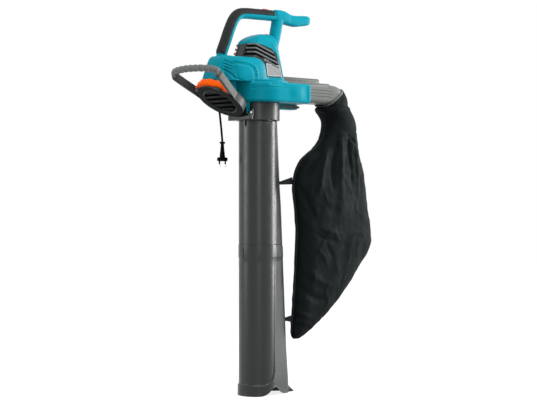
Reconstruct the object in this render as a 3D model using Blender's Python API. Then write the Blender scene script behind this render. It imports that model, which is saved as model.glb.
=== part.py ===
# Leaf blower vacuum, held upright by its main handle with the suction tube hanging down.
# Metres, +Z up. The machine is drawn about its fan axis, with Z = 0 on the floor of the fan
# housing, +X towards the collection bag and the symmetry plane at Y = 0. The root empty then
# moves the world origin to the middle of the main grip.

import math

import bmesh
import bpy
from mathutils import Matrix, Vector

# Clearances and general walls
GAP = 0.0003
SLIDE_GAP = 0.0006
WALL = 0.0030
SIDES = 24

# Suction tube radius and fan depth, which the neighbouring pieces follow
TUBE_R = 0.0605
FAN_DEPTH = 0.060

# Main grip, the natural reference point of the machine
GRIP_X = -0.012
GRIP_Z = FAN_DEPTH + 0.219

# Fan housing and impeller
FAN_FLOOR = 0.0030
VOLUTE_START_R = 0.097
VOLUTE_END_R = 0.106
VOLUTE_WALL = 0.0030
INLET_STEP = 0.0045
INLET_R = TUBE_R - INLET_STEP
IMPELLER_R = 0.0860
IMPELLER_TIP_GAP = 0.0060
IMPELLER_BLADES = 8
IMPELLER_HUB_R = 0.0160
BLADE_THICKNESS = 0.0024
BACKPLATE = 0.0030
KNIFE_LENGTH = 0.100
KNIFE_WIDTH = 0.018
KNIFE_THICKNESS = 0.0030
NUT_R = 0.0085
NUT_HEIGHT = 0.0060
DUCT_WIDTH = 0.092
DUCT_END_X = 0.128
FLANGE_WIDTH = 0.0060
FLANGE_PROUD = 0.0012

# Motor
SHAFT_R = 0.0050
SHAFT_TOP = FAN_DEPTH + 0.112
BULKHEAD = 0.0040
BEARING_R = 0.0130
BEARING_HEIGHT = 0.0090
STATOR_R = 0.0420
STATOR_BORE_R = 0.0270
STATOR_HEIGHT = 0.048
AIR_GAP = 0.0010
COMMUTATOR_R = 0.0140
COMMUTATOR_HEIGHT = 0.016
COOLING_FAN_R = 0.0295
COOLING_FAN_BLADES = 9
BRUSH_SIZE = 0.0080
BRUSH_LENGTH = 0.016

# Motor tower: plan sizes at the seam with the fan housing and at the shoulder of the cap
TOWER_FRONT_LOW = -0.112
TOWER_REAR_LOW = 0.078
TOWER_HALF_LOW = 0.056
TOWER_FRONT_HIGH = -0.063
TOWER_REAR_HIGH = 0.052
TOWER_HALF_HIGH = 0.0485
TOWER_KNEE_LOW = 0.045
TOWER_KNEE_HIGH = 0.085
CAP_SEAM_Z = FAN_DEPTH + 0.122
CAP_HEIGHT = 0.036
SHOULDER_TOP_Z = FAN_DEPTH + 0.077
SHOULDER_HALF = 0.0655
SHOULDER_FRONT = -0.171
SHOULDER_REAR = 0.027
BASE_FLANGE = 0.0035
BASE_FLANGE_R = 0.0945

# Vent cover
VENT_SLOTS = 3
VENT_SLOT_HEIGHT = 0.0064
VENT_SLOT_PITCH = 0.0126
VENT_SLOPE = math.radians(19.0)
VENT_SLOT_START_Y = 0.0215

# Handle loop of the housing halves
HANDLE_WIDTH = 0.0330
HANDLE_DEPTH = 0.0340
HANDLE_FOOT = 0.0835
GRIP_SKIN = 0.0032
GRIP_HALF_ANGLE = math.radians(113.0)
STUB_END_X = 0.213

# Front hub, turned about an axis that leans forwards and down
HUB_LEAN = math.radians(57.5)
HUB_X = -(TUBE_R + 0.0915)
HUB_Z = -0.004
CORE_R = 0.0565
LOUVRE_R = CORE_R + 0.0025
HUB_R = LOUVRE_R + 0.0190
HUB_DEPTH = 0.0280
DRUM_WALL = 0.0045
DRUM_STEP = 0.0012
LOUVRE_BARS = 5
FRONT_GRIP_REACH = 0.149
FRONT_GRIP_HALF = 0.104
FRONT_GRIP_R = 0.0118
FRONT_HANDLE_TURN = math.radians(3.0)
LOCK_R = HUB_R + 0.0095
LOCK_HALF_ANGLE = math.radians(49.0)
LOCK_LOBES = 5
LOCK_LOBE_DEPTH = 0.0034

# Suction tube
TUBE_WALL = 0.0025
COLLAR_WALL = 0.0080
COLLAR_R = TUBE_R + COLLAR_WALL
COLLAR_LENGTH = 0.056
UPPER_TUBE_END = -0.444
TUBE_SOCKET = 0.055
MOUTH_Z = -0.917
MOUTH_ARCH = 0.028
KEEL_TOP_R = TUBE_R - 0.0060
KEEL_TOP_X = 0.0075
KEEL_END_R = 0.0300
KEEL_END_X = 0.0830
SKID_REACH = 0.137
SKID_HALF = 0.014
HOOK_X = -(COLLAR_R + 0.0035)
HOOK_Y = COLLAR_R - 0.0205
HOOK_BAR_HEIGHT = 0.014
HOOK_Z = -COLLAR_LENGTH + HOOK_BAR_HEIGHT + 0.008
HOOK_PIN_R = 0.0035
LATCH_PIN_X = COLLAR_R + 0.0495
LATCH_Z = -0.0068
LATCH_END_X = LATCH_PIN_X + 0.044
LATCH_HALF = 0.014
LATCH_THICKNESS = 0.0078
LATCH_TIP_STEP = 0.0020
LATCH_BITE = 0.0035
LATCH_TRAVEL = 0.0050
LATCH_PIN_R = 0.0021

# Outlet duct and bag
ELBOW_X = 0.262
ELBOW_Y = -0.060
ELBOW_R = 0.0470
ELBOW_END_Z = -0.006
LANE_END_X = 0.300
MID_LANE_TOP = FAN_DEPTH + 0.017
FAR_LANE_TOP = FAN_DEPTH + 0.035
LANE_WIDTH = 0.040
LANE_FLOOR = 0.016
BAG_RING_HEIGHT = 0.010
BAG_RING_PROUD = 0.0045
EYELET_UPPER_Z = -0.246
EYELET_LOWER_Z = -0.684
EYELET_REACH = 0.0038
WIRE_R = 0.0013
HOOK_WIRE_HALF = 0.0060
HOOK_WIRE_REACH = 0.012
STRAP_THICKNESS = 0.0016
STRAP_WIDTH = 0.020

# Bag sections: height, middle X, half length, middle Y, half width
BAG_SECTIONS = (
    (-0.0166, 0.266, 0.0515, -0.060, 0.0510),
    (-0.050, 0.281, 0.0560, -0.059, 0.0520),
    (-0.092, 0.293, 0.0590, -0.057, 0.0530),
    (-0.130, 0.290, 0.0700, -0.054, 0.0540),
    (-0.158, 0.276, 0.1010, -0.050, 0.0550),
    (-0.178, 0.268, 0.1260, -0.047, 0.0560),
    (-0.212, 0.262, 0.1480, -0.044, 0.0570),
    (-0.262, 0.264, 0.1500, -0.042, 0.0580),
    (-0.330, 0.275, 0.1530, -0.040, 0.0590),
    (-0.405, 0.288, 0.1560, -0.037, 0.0590),
    (-0.462, 0.285, 0.1520, -0.034, 0.0560),
    (-0.545, 0.253, 0.1240, -0.030, 0.0500),
    (-0.640, 0.209, 0.0860, -0.026, 0.0400),
    (-0.700, 0.172, 0.0560, -0.023, 0.0290),
    (-0.736, 0.148, 0.0330, -0.021, 0.0180),
    (-0.752, 0.138, 0.0150, -0.020, 0.0070),
)
BAG_SQUARENESS = 2.3
BAG_SIDES = 20

# Mains cord, a short lead with its own plug that hangs behind the hub
CORD_R = 0.0034
GLAND_R = 0.0085
CORD_ROUTE = (
    (-0.0950, 0.0905, 0.0560),
    (-0.0942, 0.0964, 0.0493),
    (-0.0934, 0.1008, 0.0410),
    (-0.0927, 0.1030, 0.0290),
    (-0.0920, 0.1033, 0.0100),
    (-0.0912, 0.1030, -0.0200),
    (-0.0900, 0.1025, -0.0500),
    (-0.0885, 0.1020, -0.0800),
    (-0.0868, 0.1015, -0.1080),
    (-0.0861, 0.1012, -0.1200),
)
CORD_GLAND_START = (-0.0985, 0.0640, FAN_DEPTH + 0.0260)


def clear_scene():
    for item in list(bpy.data.objects):
        bpy.data.objects.remove(item, do_unlink=True)


# Materials

def paint(name, colour, roughness, metallic=0.0):
    made = bpy.data.materials.new(name)
    made.use_nodes = True
    shader = made.node_tree.nodes["Principled BSDF"]
    shader.inputs["Base Color"].default_value = (*colour, 1.0)
    shader.inputs["Roughness"].default_value = roughness
    shader.inputs["Metallic"].default_value = metallic
    return made


def make_paints():
    return {
        "teal": paint("teal_housing", (0.0, 0.31, 0.40), 0.38),
        "tube": paint("dark_grey_tube", (0.055, 0.060, 0.058), 0.30),
        "grey": paint("mid_grey_moulding", (0.13, 0.13, 0.125), 0.40),
        "black": paint("black_plastic", (0.012, 0.013, 0.013), 0.45),
        "rubber": paint("grip_rubber", (0.018, 0.020, 0.020), 0.75),
        "orange": paint("orange_plastic", (0.80, 0.13, 0.01), 0.40),
        "red": paint("red_switch", (0.60, 0.03, 0.02), 0.40),
        "steel": paint("bright_steel", (0.55, 0.55, 0.56), 0.25, 1.0),
        "copper": paint("copper_winding", (0.60, 0.24, 0.10), 0.35, 1.0),
        "iron": paint("laminated_iron", (0.20, 0.20, 0.21), 0.45, 0.9),
        "cloth": paint("black_polyester", (0.010, 0.011, 0.011), 0.80),
        "board": paint("circuit_board", (0.02, 0.16, 0.07), 0.50),
    }


# Mesh helpers

def ring_surface(rings, looped=False, ends=True):
    """Joins rings of points, each with the same count, into one closed surface."""
    mesh = bmesh.new()
    rows = [[mesh.verts.new(p) for p in ring] for ring in rings]
    pairs = list(zip(rows, rows[1:]))
    if looped:
        pairs.append((rows[-1], rows[0]))
    for low, high in pairs:
        count = max(len(low), len(high))
        for i in range(count):
            j = (i + 1) % count
            if len(low) == 1:
                mesh.faces.new((low[0], high[j], high[i]))
            elif len(high) == 1:
                mesh.faces.new((low[i], low[j], high[0]))
            else:
                mesh.faces.new((low[i], low[j], high[j], high[i]))
    if ends and not looped:
        if len(rows[0]) > 2:
            mesh.faces.new(rows[0][::-1])
        if len(rows[-1]) > 2:
            mesh.faces.new(rows[-1])
    bmesh.ops.recalc_face_normals(mesh, faces=mesh.faces)
    return mesh


def revolve(profile, steps=SIDES, axis_point=(0.0, 0.0)):
    """Turns a closed profile of (radius, height) points about Z into a ring-shaped solid."""
    rings = []
    for radius, height in profile:
        if radius < 1e-6:
            rings.append([Vector((axis_point[0], axis_point[1], height))])
            continue
        ring = []
        for i in range(steps):
            turn = 2.0 * math.pi * i / steps
            ring.append(Vector((axis_point[0] + radius * math.cos(turn),
                                axis_point[1] + radius * math.sin(turn), height)))
        rings.append(ring)
    on_axis = profile[0][0] < 1e-6 or profile[-1][0] < 1e-6
    return ring_surface(rings, looped=not on_axis)


def washer(inner, outer, low, high, steps=SIDES):
    return revolve([(outer, low), (outer, high), (inner, high), (inner, low)], steps)


def rod(radius, low, high, steps=16):
    return revolve([(0.0, low), (radius, low), (radius, high), (0.0, high)], steps)


def prism(outline, low, high):
    """Extrudes a flat outline of (x, y) points from one height to another."""
    return ring_surface([[Vector((x, y, low)) for x, y in outline],
                         [Vector((x, y, high)) for x, y in outline]])


def side_prism(outline, near, far):
    """Extrudes an outline of (x, z) points across the machine."""
    return ring_surface([[Vector((x, near, z)) for x, z in outline],
                         [Vector((x, far, z)) for x, z in outline]])


def slab(outline, half, chamfer):
    """An outline of (x, z) points made into a plate across the machine with chamfered rims."""
    middle_x = sum(x for x, z in outline) / len(outline)
    middle_z = sum(z for x, z in outline) / len(outline)
    small = []
    for x, z in outline:
        away = math.hypot(x - middle_x, z - middle_z)
        small.append((x + (middle_x - x) * chamfer / away, z + (middle_z - z) * chamfer / away))
    rings = []
    for plan, y in ((small, -half), (outline, -half + chamfer), (outline, half - chamfer), (small, half)):
        rings.append([Vector((x, y, z)) for x, z in plan])
    return ring_surface(rings)


def box(low, high):
    corners = [(low[0], low[1]), (high[0], low[1]), (high[0], high[1]), (low[0], high[1])]
    return prism(corners, low[2], high[2])


def arc(centre, radius, start, end, count):
    """Points on an arc, angles in degrees, both ends included."""
    points = []
    for i in range(count):
        turn = math.radians(start + (end - start) * i / (count - 1))
        points.append((centre[0] + radius * math.cos(turn), centre[1] + radius * math.sin(turn)))
    return points


def oval(half_x, half_y, power, count):
    """A superellipse outline: power 2 is an ellipse, a higher one is squarer."""
    points = []
    for i in range(count):
        turn = 2.0 * math.pi * (i + 0.5) / count
        c, s = math.cos(turn), math.sin(turn)
        points.append((half_x * math.copysign(abs(c) ** (2.0 / power), c),
                       half_y * math.copysign(abs(s) ** (2.0 / power), s)))
    return points


def smooth_path(points, steps):
    """A Catmull-Rom curve through hand-chosen points, steps to each stretch."""
    fixed = [Vector(p) for p in points]
    fixed = [fixed[0] * 2 - fixed[1]] + fixed + [fixed[-1] * 2 - fixed[-2]]
    path = []
    for i in range(1, len(fixed) - 2):
        a, b, c, d = fixed[i - 1:i + 3]
        for k in range(steps):
            t = k / steps
            path.append(0.5 * ((2 * b) + (c - a) * t + (2 * a - 5 * b + 4 * c - d) * t * t
                               + (3 * b - a - 3 * c + d) * t ** 3))
    path.append(fixed[-2])
    return path


def sweep(path, sections, side):
    """Carries one section of (outward, sideways) points along a flat path."""
    rings = []
    side = Vector(side)
    for i, point in enumerate(path):
        ahead = path[min(i + 1, len(path) - 1)] - path[max(i - 1, 0)]
        outward = side.cross(ahead.normalized()).normalized()
        section = sections[i] if isinstance(sections[0][0], (tuple, list)) else sections
        rings.append([point + outward * a + side * b for a, b in section])
    return ring_surface(rings)


def add(name, mesh, colour, parent, sharp=32.0):
    """Makes a named object of one closed mesh, shaded smooth with sharp creases."""
    data = bpy.data.meshes.new(name)
    mesh.to_mesh(data)
    mesh.free()
    data.materials.append(colour)
    data.shade_smooth()
    data.set_sharp_from_angle(angle=math.radians(sharp))
    item = bpy.data.objects.new(name, data)
    bpy.context.scene.collection.objects.link(item)
    item.parent = parent
    return item


def guide(name, mesh, parent):
    """A cutter or a form that only shapes other pieces."""
    data = bpy.data.meshes.new(name)
    mesh.to_mesh(data)
    mesh.free()
    item = bpy.data.objects.new(name, data)
    bpy.context.scene.collection.objects.link(item)
    item.parent = parent
    item.hide_render = True
    item.display_type = "WIRE"
    return item


def boolean(item, other, operation):
    step = item.modifiers.new(operation.lower(), "BOOLEAN")
    step.operation = operation
    step.solver = item.get("solver", "EXACT")
    step.object = other
    return step


def cut(item, *tools):
    for tool in tools:
        boolean(item, tool, "DIFFERENCE")


def join(item, *tools):
    for tool in tools:
        boolean(item, tool, "UNION")


def keep(item, tool):
    boolean(item, tool, "INTERSECT")


def bevel(item, width, segments=1, angle=40.0):
    step = item.modifiers.new("bevel", "BEVEL")
    step.width = width
    step.segments = segments
    step.limit_method = "ANGLE"
    step.angle_limit = math.radians(angle)
    return step


def empty(name, location, rotation=(0.0, 0.0, 0.0), parent=None):
    item = bpy.data.objects.new(name, None)
    bpy.context.scene.collection.objects.link(item)
    item.location = location
    item.rotation_euler = rotation
    item.parent = parent
    return item


def shift(mesh, offset):
    bmesh.ops.translate(mesh, verts=mesh.verts, vec=Vector(offset))
    return mesh


def turn(mesh, angle, axis, centre=(0.0, 0.0, 0.0)):
    spin = Matrix.Rotation(angle, 4, axis)
    bmesh.ops.rotate(mesh, verts=mesh.verts, cent=Vector(centre), matrix=spin)
    return mesh


# Fan housing

def volute_outline(inset):
    """Plan of the scroll and its outlet, going round with the air, inset by a wall."""
    points = []
    start = math.asin(duct_high_y(inset) / (VOLUTE_START_R - inset))
    end = 1.5 * math.pi
    steps = 28
    for i in range(steps + 1):
        share = i / steps
        turn_now = start + (end - start) * share
        radius = VOLUTE_START_R + (VOLUTE_END_R - VOLUTE_START_R) * share - inset
        points.append((radius * math.cos(turn_now), radius * math.sin(turn_now)))
    return points


def duct_low_y(inset):
    return -VOLUTE_END_R + inset


def duct_high_y(inset):
    return -VOLUTE_END_R + DUCT_WIDTH - inset


def scroll_plan(inset, end_x):
    points = volute_outline(inset)
    points.append((end_x, duct_low_y(inset)))
    points.append((end_x, duct_high_y(inset)))
    return points


def make_fan_housing(paints, root):
    scroll = prism(scroll_plan(0.0, DUCT_END_X + 0.02), 0.0, FAN_DEPTH)
    shell = add("fan_housing", scroll, paints["teal"], root)
    bevel(shell, 0.004, 2, 60.0)
    beyond = box((DUCT_END_X - FLANGE_WIDTH / 2, -0.2, -0.1), (DUCT_END_X + 0.1, 0.1, 0.1))
    cut(shell, guide("duct_end", beyond, root))
    chamber = prism(scroll_plan(VOLUTE_WALL, VOLUTE_START_R * 0.7), FAN_FLOOR, FAN_DEPTH + WALL)
    cut(shell, guide("fan_chamber", chamber, root))
    passage = box((VOLUTE_START_R * 0.5, duct_low_y(VOLUTE_WALL + GAP), FAN_FLOOR + GAP),
                  (DUCT_END_X + WALL, duct_high_y(VOLUTE_WALL - GAP), FAN_DEPTH - VOLUTE_WALL))
    cut(shell, guide("duct_passage", passage, root))
    cut(shell, guide("inlet_hole", rod(INLET_R, -WALL, FAN_FLOOR + WALL, SIDES), root))
    flange_low = duct_low_y(-FLANGE_PROUD)
    flange_high = duct_high_y(-FLANGE_PROUD)
    flange = box((DUCT_END_X - FLANGE_WIDTH, flange_low, -0.0006),
                 (DUCT_END_X + GAP, flange_high, FAN_DEPTH + 0.002))
    lip = VOLUTE_WALL - 0.0008
    hole = box((DUCT_END_X - 2 * FLANGE_WIDTH, duct_low_y(lip), lip),
               (DUCT_END_X + WALL, duct_high_y(lip), FAN_DEPTH - lip))
    rim = guide("duct_flange", flange, root)
    cut(rim, guide("flange_hole", hole, root))
    join(shell, rim)
    for side in (-1.0, 1.0):
        lug = side_prism([(HOOK_X - 0.006, 0.004), (HOOK_X - 0.006, HOOK_Z),
                          (HOOK_X - 0.003, HOOK_Z - 0.006), (HOOK_X + 0.003, HOOK_Z - 0.006),
                          (HOOK_X + 0.006, HOOK_Z), (HOOK_X + 0.009, 0.004)],
                         side * (HOOK_Y - 0.013), side * (HOOK_Y - 0.0075))
        join(shell, guide("hook_lug", lug, root))
    bore = turn(rod(HOOK_PIN_R + GAP, -2 * HOOK_Y, 2 * HOOK_Y), math.pi / 2, "X")
    cut(shell, guide("hook_pin_bore", shift(bore, (HOOK_X, 0.0, HOOK_Z)), root))
    tray = box((COLLAR_R + 0.006, -LATCH_HALF - 0.005, LATCH_Z - LATCH_THICKNESS / 2 - 0.0045),
               (LATCH_PIN_X + 0.030, LATCH_HALF + 0.005, 0.001))
    tray_form = guide("latch_tray", tray, root)
    bay = box((COLLAR_R, -LATCH_HALF - 0.0012, LATCH_Z - LATCH_THICKNESS / 2 - 0.0022),
              (LATCH_PIN_X + 0.040, LATCH_HALF + 0.0012, -GAP))
    cut(tray_form, guide("latch_bay", bay, root))
    join(shell, tray_form)
    pin = turn(rod(LATCH_PIN_R + GAP, -LATCH_HALF - 0.02, LATCH_HALF + 0.02, 12), math.pi / 2, "X")
    cut(shell, guide("latch_pin_hole", shift(pin, (LATCH_PIN_X, 0.0, LATCH_Z)), root))


def blade_arc(inner, outer, sweep_angle, thickness, count=4):
    """Plan of one backward-curved blade between two radii."""
    front, back = [], []
    for i in range(count):
        share = i / (count - 1)
        radius = inner + (outer - inner) * share
        lean = -sweep_angle * share ** 1.4
        half = 0.5 * thickness / radius
        front.append((radius * math.cos(lean - half), radius * math.sin(lean - half)))
        back.append((radius * math.cos(lean + half), radius * math.sin(lean + half)))
    return front + back[::-1]


def make_rotor(paints, root):
    low = FAN_FLOOR + IMPELLER_TIP_GAP
    high = FAN_DEPTH - IMPELLER_TIP_GAP
    backplate = washer(SHAFT_R + GAP, IMPELLER_R, high - BACKPLATE, high, 28)
    wheel = add("impeller", backplate, paints["black"], root)
    hub = washer(SHAFT_R + GAP, IMPELLER_HUB_R, low + 0.004, high - BACKPLATE / 2, 16)
    join(wheel, guide("impeller_hub", hub, root))
    for i in range(IMPELLER_BLADES):
        plan = blade_arc(IMPELLER_HUB_R - 0.003, IMPELLER_R - 0.001, math.radians(46.0), BLADE_THICKNESS)
        blade = prism(plan, low, high - BACKPLATE / 2)
        turn(blade, 2.0 * math.pi * i / IMPELLER_BLADES, "Z")
        join(wheel, guide("impeller_blade", blade, root))
    knife_top = low + 0.004 - GAP
    knife = box((-KNIFE_LENGTH / 2, -KNIFE_WIDTH / 2, knife_top - KNIFE_THICKNESS),
                (KNIFE_LENGTH / 2, KNIFE_WIDTH / 2, knife_top))
    shredder = add("shredder_knife", knife, paints["steel"], root)
    cut(shredder, guide("knife_bore", rod(SHAFT_R + GAP, -0.02, 0.03, 16), root))
    for side in (-1.0, 1.0):
        edge = [(side * KNIFE_LENGTH * 0.52, side * KNIFE_WIDTH * 0.1),
                (side * KNIFE_LENGTH * 0.52, side * KNIFE_WIDTH * 0.6),
                (side * KNIFE_LENGTH * 0.22, side * KNIFE_WIDTH * 0.6)]
        cut(shredder, guide("knife_corner", prism(edge, -0.01, 0.03), root))
    cut(wheel, guide("knife_slot", box((-KNIFE_LENGTH / 2 - GAP, -KNIFE_WIDTH / 2 - GAP, low - 0.002),
                                       (KNIFE_LENGTH / 2 + GAP, KNIFE_WIDTH / 2 + GAP, low + 0.004)), root))
    nut_top = knife_top - KNIFE_THICKNESS - GAP
    nut = add("impeller_nut", rod(NUT_R, nut_top - NUT_HEIGHT, nut_top, 6), paints["steel"], root, 20.0)
    cut(nut, guide("nut_bore", rod(SHAFT_R + GAP, -0.02, 0.03), root))
    shaft_low = nut_top - NUT_HEIGHT - 0.003
    add("motor_shaft", rod(SHAFT_R, shaft_low, SHAFT_TOP), paints["steel"], root)
    make_armature(paints, root)


def stator_low_z():
    return FAN_DEPTH + BULKHEAD + BEARING_HEIGHT + 0.014


def commutator_low_z():
    return stator_low_z() + STATOR_HEIGHT + 0.006 + GAP


def brush_height():
    return commutator_low_z() + COMMUTATOR_HEIGHT / 2


def make_armature(paints, root):
    low = stator_low_z()
    core_r = STATOR_BORE_R - AIR_GAP
    slots = 9
    outline = []
    for i in range(slots):
        base = 2.0 * math.pi * i / slots
        tooth = ((-0.38, core_r), (0.38, core_r), (0.44, core_r - 0.008), (0.56, core_r - 0.008))
        for share, radius in tooth:
            outline.append((radius * math.cos(base + share * math.pi / slots * 2),
                            radius * math.sin(base + share * math.pi / slots * 2)))
    core = add("armature", prism(outline, low, low + STATOR_HEIGHT), paints["iron"], root, 20.0)
    coils = washer(SHAFT_R + GAP, core_r - 0.007, low - 0.006, low + STATOR_HEIGHT + 0.006, 20)
    join(core, guide("armature_coils", coils, root))
    cut(core, guide("armature_bore", rod(SHAFT_R + GAP, low - 0.02, low + STATOR_HEIGHT + 0.02), root))
    comm_low = commutator_low_z()
    add("commutator", washer(SHAFT_R + GAP, COMMUTATOR_R, comm_low, comm_low + COMMUTATOR_HEIGHT, 24),
        paints["copper"], root)
    fan_low = FAN_DEPTH + BULKHEAD + BEARING_HEIGHT + 0.0012
    disc = washer(SHAFT_R + GAP, COOLING_FAN_R, fan_low, fan_low + 0.0016, 22)
    fan = add("cooling_fan", disc, paints["black"], root)
    for i in range(COOLING_FAN_BLADES):
        plan = blade_arc(0.016, COOLING_FAN_R - 0.0005, math.radians(14.0), 0.0016, 3)
        vane = prism(plan, fan_low + 0.0008, fan_low + 0.0062)
        turn(vane, 2.0 * math.pi * i / COOLING_FAN_BLADES, "Z")
        join(fan, guide("cooling_vane", vane, root))
    brush_z = brush_height()
    for side, name in ((-1.0, "brush_left"), (1.0, "brush_right")):
        half = BRUSH_SIZE / 2
        near = side * (COMMUTATOR_R + GAP)
        far = side * (COMMUTATOR_R + GAP + BRUSH_LENGTH)
        block = box((-half, min(near, far), brush_z - half), (half, max(near, far), brush_z + half))
        add(name, block, paints["iron"], root)


def make_motor_frame(paints, root):
    plate_low = FAN_DEPTH + GAP
    plate_high = plate_low + BULKHEAD
    plate = add("motor_bulkhead", washer(BEARING_R + GAP, VOLUTE_START_R - 0.001, plate_low, plate_high, 28),
                paints["grey"], root)
    seat_high = plate_low + BEARING_HEIGHT + 0.0006
    seat = washer(BEARING_R + GAP, BEARING_R + 0.004, plate_high - 0.001, seat_high, 20)
    join(plate, guide("bearing_seat", seat, root))
    add("lower_bearing", washer(SHAFT_R + GAP, BEARING_R, plate_low, plate_low + BEARING_HEIGHT, 20),
        paints["steel"], root)
    low = stator_low_z()
    outline = oval(STATOR_R, STATOR_R * 0.96, 2.6, 28)
    stator = add("stator", prism(outline, low, low + STATOR_HEIGHT), paints["iron"], root)
    cut(stator, guide("stator_bore", rod(STATOR_BORE_R, low - 0.02, low + STATOR_HEIGHT + 0.02, 28), root))
    for side in (-1.0, 1.0):
        coil = box((-0.022, min(side * 0.0285, side * 0.038), low - 0.005),
                   (0.022, max(side * 0.0285, side * 0.038), low + STATOR_HEIGHT + 0.005))
        join(stator, guide("field_coil", coil, root))
    for side in (-1.0, 1.0):
        post = shift(rod(0.0045, plate_high - 0.001, low - GAP, 8), (side * (STATOR_R - 0.0055), 0.0, 0.0))
        join(plate, guide("stator_post", post, root))
    top = SHAFT_TOP - BEARING_HEIGHT - 0.002
    add("upper_bearing", washer(SHAFT_R + GAP, BEARING_R - 0.002, top, top + BEARING_HEIGHT, 20),
        paints["steel"], root)
    bridge_low = top - 0.001
    bridge = prism(oval(0.044, 0.0335, 4.0, 20), bridge_low, top + BEARING_HEIGHT * 0.6)
    holder = add("brush_bridge", bridge, paints["black"], root)
    brush_z = brush_height()
    near = COMMUTATOR_R + BRUSH_LENGTH * 0.25
    far = COMMUTATOR_R + BRUSH_LENGTH * 1.05
    for side in (-1.0, 1.0):
        block = box((-BRUSH_SIZE, min(side * near, side * far), brush_z - BRUSH_SIZE * 0.8),
                    (BRUSH_SIZE, max(side * near, side * far), bridge_low + 0.001))
        join(holder, guide("brush_holder", block, root))
    half = BRUSH_SIZE / 2 + GAP
    channel = box((-half, -STATOR_R, brush_z - half), (half, STATOR_R, brush_z + half))
    cut(holder, guide("brush_channel", channel, root))
    bore = rod(BEARING_R - 0.002 + GAP, bridge_low - 0.01, top + 0.03, 24)
    cut(holder, guide("upper_bearing_seat", bore, root))
    for x in (-0.036, 0.036):
        leg = shift(rod(0.0042, low + STATOR_HEIGHT + GAP, bridge_low + 0.002, 12), (x, 0.0, 0.0))
        join(holder, guide("bridge_leg", leg, root))


# Housing halves

def tower_ring(z, front, rear, half):
    nose = half * 0.55
    tail = half * 0.74
    front_in = front + half * 0.36
    rear_in = rear - half * 0.30
    plan = [(front, -nose), (front_in, -half), (rear_in, -half), (rear, -tail),
            (rear, tail), (rear_in, half), (front_in, half), (front, nose)]
    return [Vector((x, y, z)) for x, y in plan]


def tower_size(z):
    """Front, rear and half width of the tower at a height below the cap."""
    low = FAN_DEPTH
    share = (z - low) / (CAP_SEAM_Z - low)
    front = TOWER_FRONT_LOW + (TOWER_FRONT_HIGH - TOWER_FRONT_LOW) * share
    rear = TOWER_REAR_LOW + (TOWER_REAR_HIGH - TOWER_REAR_LOW) * share
    half = TOWER_HALF_LOW + (TOWER_HALF_HIGH - TOWER_HALF_LOW) * share
    return front, rear, half


def tower_surface(inset, low, top_drop):
    rings = []
    for z in (low, FAN_DEPTH + TOWER_KNEE_LOW, FAN_DEPTH + TOWER_KNEE_HIGH, CAP_SEAM_Z):
        front, rear, half = tower_size(z)
        rings.append(tower_ring(z, front + inset, rear - inset, half - inset))
    front, rear, half = tower_size(CAP_SEAM_Z)
    for rise, move, back, narrow in ((0.30, 0.006, 0.002, 0.93), (0.62, 0.022, 0.004, 0.74),
                                     (0.86, 0.044, 0.006, 0.50), (0.97, 0.062, 0.010, 0.30)):
        rings.append(tower_ring(CAP_SEAM_Z + CAP_HEIGHT * rise - top_drop, front + move + inset,
                                rear - back - inset, half * narrow - inset * narrow))
    return ring_surface(rings)


def shoulder_surface(inset, low, high):
    middle = (SHOULDER_FRONT + SHOULDER_REAR) / 2
    reach = (SHOULDER_REAR - SHOULDER_FRONT) / 2
    rings = []
    for share, narrow in ((0.0, 1.0), (0.60, 0.985), (0.88, 0.92), (1.0, 0.74)):
        z = low + (high - low) * share
        plan = oval(reach * narrow - inset, SHOULDER_HALF * narrow - inset, 2.7, 24)
        rings.append([Vector((middle + x, y, z)) for x, y in plan])
    return ring_surface(rings)


def hub_line(along):
    """A point of the plane behind the hub, in the symmetry plane, given its way up from the axis."""
    lean = HUB_LEAN
    back = HUB_DEPTH + GAP * 2
    return (HUB_X - math.sin(lean) * along + math.cos(lean) * back,
            HUB_Z + math.cos(lean) * along + math.sin(lean) * back)


def handle_path():
    """Middle line of the handle loop, its heights counted from the top of the fan housing."""
    points = [(-0.152, 0.040), (-0.1470, HANDLE_FOOT), (-0.131, 0.124), (-0.1135, 0.166), (-0.0975, 0.196),
              (-0.078, 0.2135), (-0.050, 0.2185), (-0.010, 0.2195), (0.040, 0.2205), (0.075, 0.2205)]
    return smooth_path([(x, 0.0, FAN_DEPTH + rise) for x, rise in points], 2)


def loop_section(skin, count=16):
    """Handle section with its outer side set in by the rubber skin."""
    points = []
    for i in range(count):
        turn_now = 2.0 * math.pi * (i + 0.5) / count - math.pi
        inset = skin if abs(turn_now) < GRIP_HALF_ANGLE else 0.0
        c, s = math.cos(turn_now), math.sin(turn_now)
        power = 2.0 / 2.5
        points.append(((HANDLE_DEPTH / 2 - inset) * math.copysign(abs(c) ** power, c),
                       (HANDLE_WIDTH / 2 - inset) * math.copysign(abs(s) ** power, s)))
    return points


def grip_section(count=16):
    """The rubber skin over the outer side of the handle, as a C-shaped section."""
    outer = []
    inner = []
    core = loop_section(GRIP_SKIN - GAP)
    full = loop_section(0.0)
    for i in range(count):
        turn_now = 2.0 * math.pi * (i + 0.5) / count - math.pi
        if abs(turn_now) < GRIP_HALF_ANGLE - math.radians(1.0):
            outer.append(full[i])
            inner.append(core[i])
    return outer + inner[::-1]


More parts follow.
